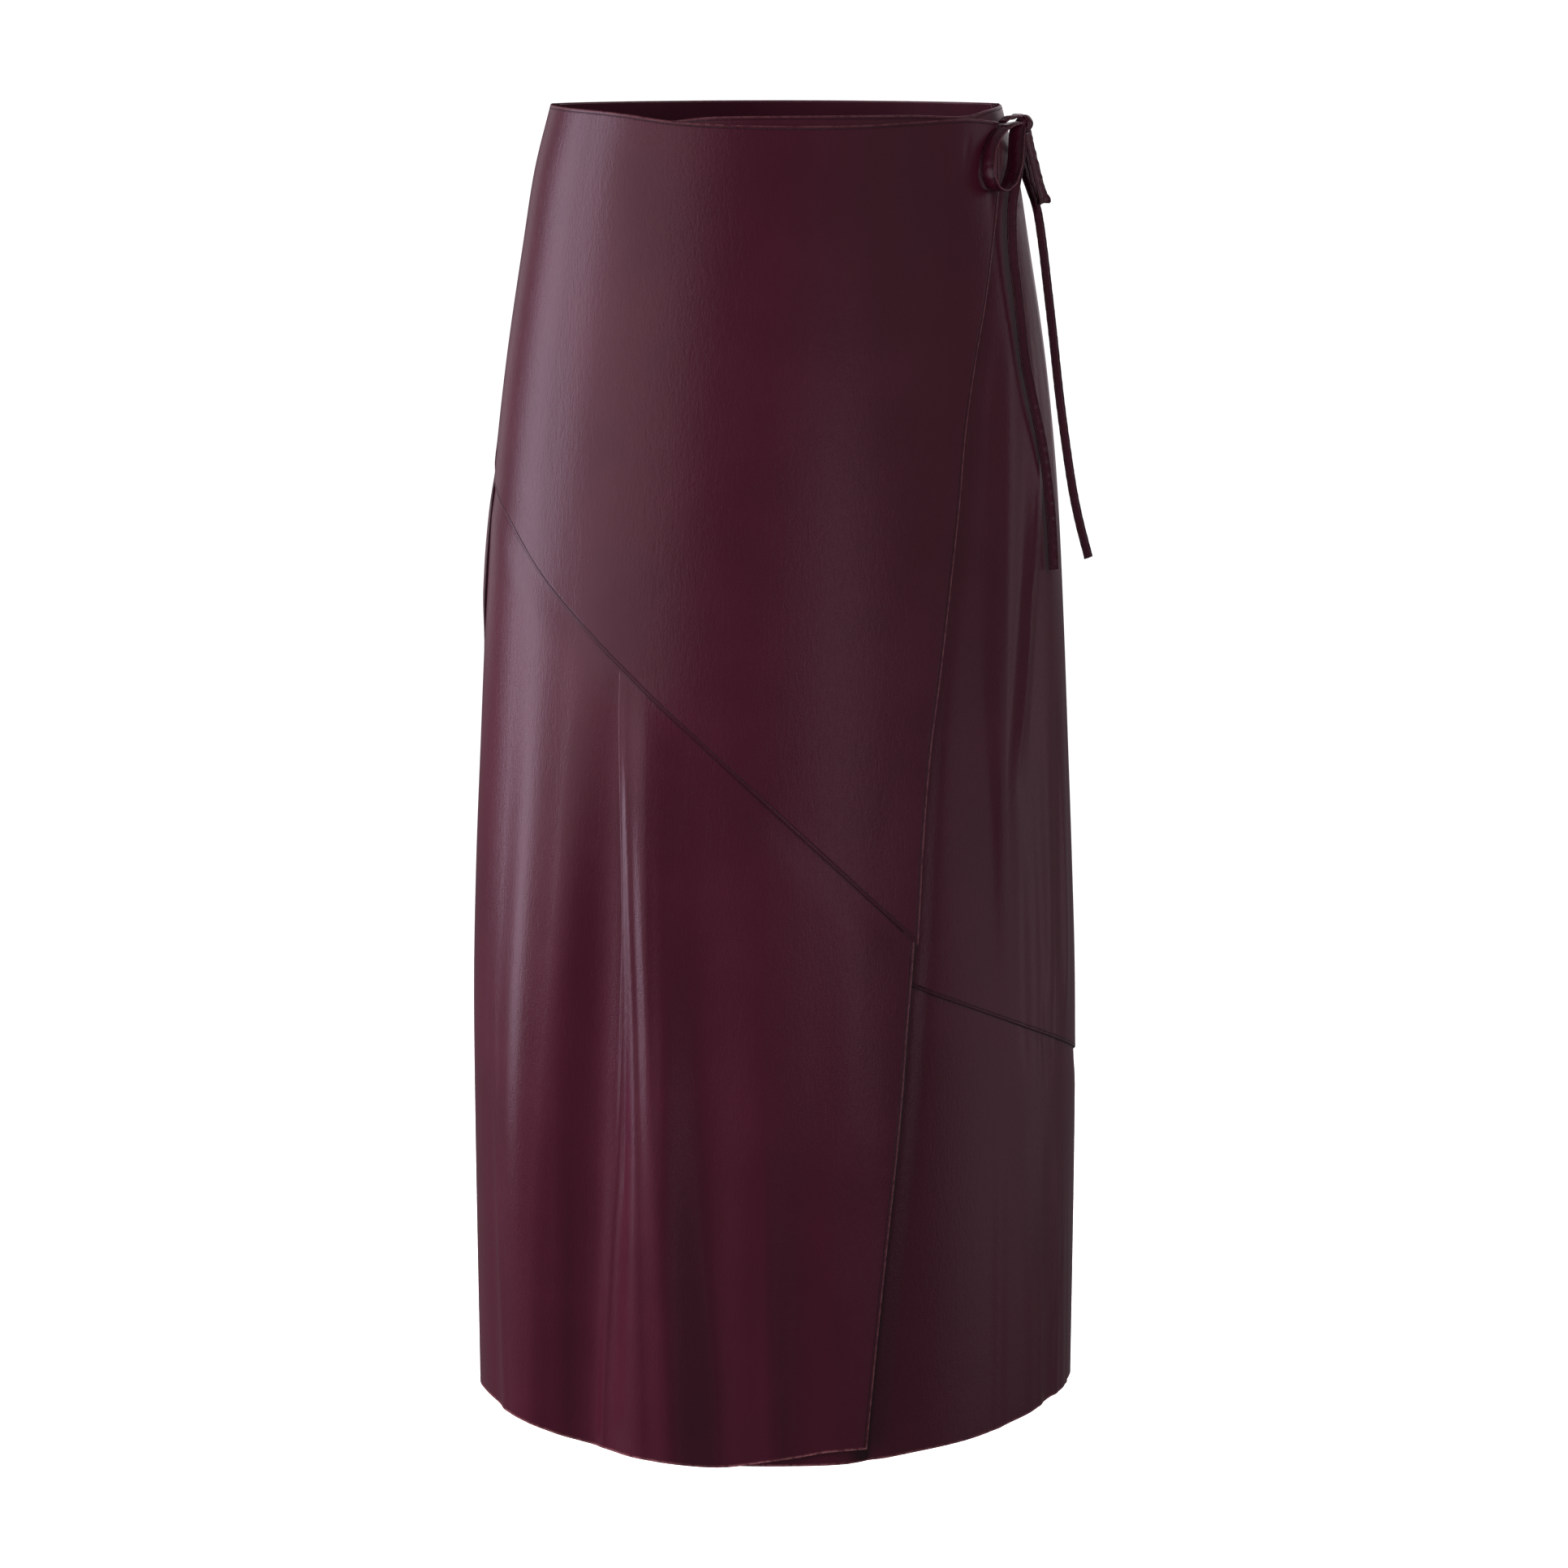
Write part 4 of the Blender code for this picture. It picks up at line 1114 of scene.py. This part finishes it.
def sew(name, rows):
    """Stitches along rows of points, every one on the surface it is sewn through.

    An operator looks at the whole mesh that it works on, so a mesh is begun anew for each
    short run of stitches and the runs are gathered.
    """
    mesh = bpy.data.meshes.new(name)
    gathered = bmesh.new()
    count = 0
    for points in rows:
        steps = np.linalg.norm(np.diff(points, axis=0), axis=1) / MM
        length = np.concatenate([[0], np.cumsum(steps)])
        starts = np.arange(0.3, length[-1] - STITCH_LENGTH, PITCH)
        ends = [[Vector([np.interp(at, length, points[:, k]) for k in range(3)])
                 for at in (start, start + STITCH_LENGTH)] for start in starts]
        for run in range(0, len(ends), RUN):
            shape = bmesh.new()
            for first, last in ends[run:run + RUN]:
                stitch(shape, first, last)
            shape.to_mesh(mesh)
            shape.free()
            gathered.from_mesh(mesh)
        count += len(ends)
    gathered.to_mesh(mesh)
    gathered.free()
    print(name, count, "stitches")
    return finish_piece(name, mesh, [thread, needle_hole_shade])


def on_lap(proud=0.0):
    return lambda around, drop: lap_rise(around, drop) + proud


def on_base(proud=0.0):
    return lambda around, drop: 0 * around + proud


def strap_rows(name):
    """Points of the two rows of stitches on each face of a strap."""
    frames = strap_frames(TIE_ROUTES[name], *STRAPS[name])
    return [np.array([frame @ Vector((side * 0.70, face * 0.64, 0)) for frame in frames])
            for side in (-1, 1) for face in (-1, 1)]


def wrap_angle(drop):
    return float(wrap_edge(drop))


threads = {
    "overlap": sew("overlap_stitches", [
        beside_edge(edge(OVERLAP_TOP), 2.5, wrap_angle(12) - 0.6, 1, on_lap()),
        beside_edge(edge(OVERLAP_SEAM), 7.5, wrap_angle(508) - 0.8, -1, on_lap(0.08)),
        beside_guide(wrap_edge, 15, 503, -1, on_lap()),
        beside_guide(wrap_edge_lower, 515, 824, -1, on_lap())]),
    "underlap": sew("underlap_stitches", [
        beside_edge(edge(UNDERLAP_TOP), 150, 183.6, 1, on_base()),
        beside_edge(edge(UNDERLAP_SEAM), 110, 183.6, -1, on_base(0.08))]),
    "back": sew("back_stitches", [
        beside_edge(edge(BACK_TOP), 184.5, 361.5, 1, on_base()),
        beside_edge(edge(BACK_SEAM), 184.5, 365.5, -1, on_base(0.08))]),
    "ties": sew("tie_stitches", [row for name in STRAPS for row in strap_rows(name)]),
}

# %% [markdown]
# ## A plain pale room
# A round floor with a raised rim all about, so that every view has the same pale ground.
# The leather doesn't mirror it: it mirrors the soft lamps only.

# %% A plain pale room
FLOOR_Z = -1.25
ROOM_RADIUS = 9.0
ROOM_CURVE = 2.0
ROOM_HEIGHT = 7.0


def build_room():
    shape = bmesh.new()
    profile = [Vector((0, 0, 0)), Vector((ROOM_RADIUS - ROOM_CURVE, 0, 0))]
    for step in range(1, 9):
        angle = math.radians(90 * step / 8)
        profile.append(Vector((ROOM_RADIUS - ROOM_CURVE + ROOM_CURVE * math.sin(angle), 0,
                               ROOM_CURVE * (1 - math.cos(angle)))))
    profile.append(Vector((ROOM_RADIUS, 0, ROOM_HEIGHT)))
    corners = [shape.verts.new(point) for point in profile]
    lines = [shape.edges.new(pair) for pair in zip(corners, corners[1:])]
    bmesh.ops.spin(shape, geom=corners + lines, cent=(0, 0, 0), axis=(0, 0, 1),
                   angle=math.radians(360), steps=64, use_merge=True)
    bmesh.ops.remove_doubles(shape, verts=shape.verts, dist=0.0001)
    bmesh.ops.translate(shape, vec=(0, 0, FLOOR_Z), verts=shape.verts)
    mesh = bpy.data.meshes.new("room")
    shape.to_mesh(mesh)
    shape.free()
    plaster = Recipe("plaster", {"Base Color": (0.8, 0.8, 0.8, 1), "Roughness": 0.9,
                                 "Emission Color": (1, 1, 1, 1), "Emission Strength": 1.0})
    room = finish_piece("room", mesh, [plaster.material])
    room.visible_glossy = False
    room.visible_diffuse = False
    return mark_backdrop(room)


build_room()

# %% [markdown]
# ## Soft studio light
# A tall softbox stands at the wearer's right, almost beside the skirt, and lays the long
# highlight down that side.  A wide dim one fills the front from the same side, and a third,
# weaker and cooler, gives the other side its grey sheen.

# %% Soft studio light
#   name, place, aim, width, height, radiance, colour, seen in the gloss
SOFTBOXES = [
    ("key", (-1.50, 0.12, -0.12), (0, 0, -0.35), 0.75, 1.64, 3.0, (0.93, 0.82, 1.0), True),
    ("fill", (-1.75, -1.35, 0.25), (0, 0, -0.4), 1.9, 2.2, 0.72, (1.0, 0.90, 0.97), True),
    ("front", (0.72, -2.3, -0.5), (0, 0, -0.4), 0.6, 1.1, 1.0, (1.0, 0.62, 0.80), True),
    ("side", (1.58, 0.25, -0.3), (0, 0, -0.4), 0.5, 1.7, 0.46, (1.0, 0.82, 0.92), True),
    ("side_low", (1.45, -0.55, -0.9), (0, 0, -0.5), 0.9, 0.8, 0.40, (1.0, 0.80, 0.92), True),
    ("wash_left", (-2.2, -0.8, -0.1), (0, 0, -0.5), 2.0, 2.0, 6.5, (1.0, 0.97, 0.97), False),
    ("wash_right", (1.6, -1.6, 0.6), (0, 0, -0.4), 2.0, 2.0, 2.0, (1.0, 0.98, 0.97), False),
    ("behind", (0.9, 2.1, 0.4), (0, 0, -0.4), 1.6, 1.8, 0.6, (1.0, 0.90, 0.94), True),
    ("wash_behind", (0.8, 2.2, 0.5), (0, 0, -0.4), 2.0, 2.0, 4.0, (1.0, 0.96, 0.96), False),
    ("behind_left", (-1.4, 1.9, 0.2), (0, 0, -0.4), 0.7, 1.8, 0.5, (1.0, 0.90, 0.98), True),
]


def softbox(name, location, aim, width, height, radiance, colour, in_gloss):
    lamp = bpy.data.lights.new(name, "AREA")
    lamp.shape = "RECTANGLE"
    lamp.size = width
    lamp.size_y = height
    lamp.color = colour
    lamp.energy = radiance * math.pi * width * height
    holder = bpy.data.objects.new(name, lamp)
    holder.location = location
    towards = Vector(aim) - Vector(location)
    holder.rotation_euler = towards.to_track_quat("-Z", "Y").to_euler()
    holder.visible_camera = False
    holder.visible_glossy = in_gloss
    bpy.context.scene.collection.objects.link(holder)


for row in SOFTBOXES:
    softbox(*row)
world = bpy.data.worlds.new("room_light")
world.use_nodes = True
world.node_tree.nodes["Background"].inputs["Color"].default_value = (1, 0.90, 0.94, 1)
world.node_tree.nodes["Background"].inputs["Strength"].default_value = 0.12
bpy.context.scene.world = world

# %% [markdown]
# ## Hand over
# Each panel stands for its solid and rides on the one body.

# %% Hand over
#     piece, node, widest, tallest, flat area in square metres
CUTS = [
    (overlap_upper, "overlap_upper", 0.426, 0.511, 0.1245),
    (overlap_lower, "overlap_lower", 0.423, 0.602, 0.1619),
    (underlap_upper, "underlap_upper", 0.355, 0.615, 0.1651),
    (underlap_lower, "underlap_lower", 0.355, 0.367, 0.0959),
    (back_upper, "back_upper back_upper_side", 0.665, 0.615, 0.2076),
    (back_lower, "back_lower", 0.665, 0.625, 0.2239),
]
for piece, node, width, height, area in CUTS:
    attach(piece, "root")
    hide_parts(*node.split())

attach(back_facing, "root")
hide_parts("back_facing")
for piece in threads.values():
    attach(piece, "root")
for name, piece in list(ties.items()) + [("tie_knot", knot), ("tie_knot", knot_turn)]:
    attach(piece, "root")
    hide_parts(name)

#   the strap, its far end, and the pieces that go with it
CORDS = [
    ("tie_loop_front", "object", [ties["tie_root_front"], knot, knot_turn]),
    ("tie_loop_rear", "object", [ties["tie_root_side"]]),
    ("tie_tail_inner", "bare", []),
    ("tie_tail_outer", "bare", []),
]
for name, far_end, with_pieces in CORDS:
    distances, line = strap_line(TIE_ROUTES[name])
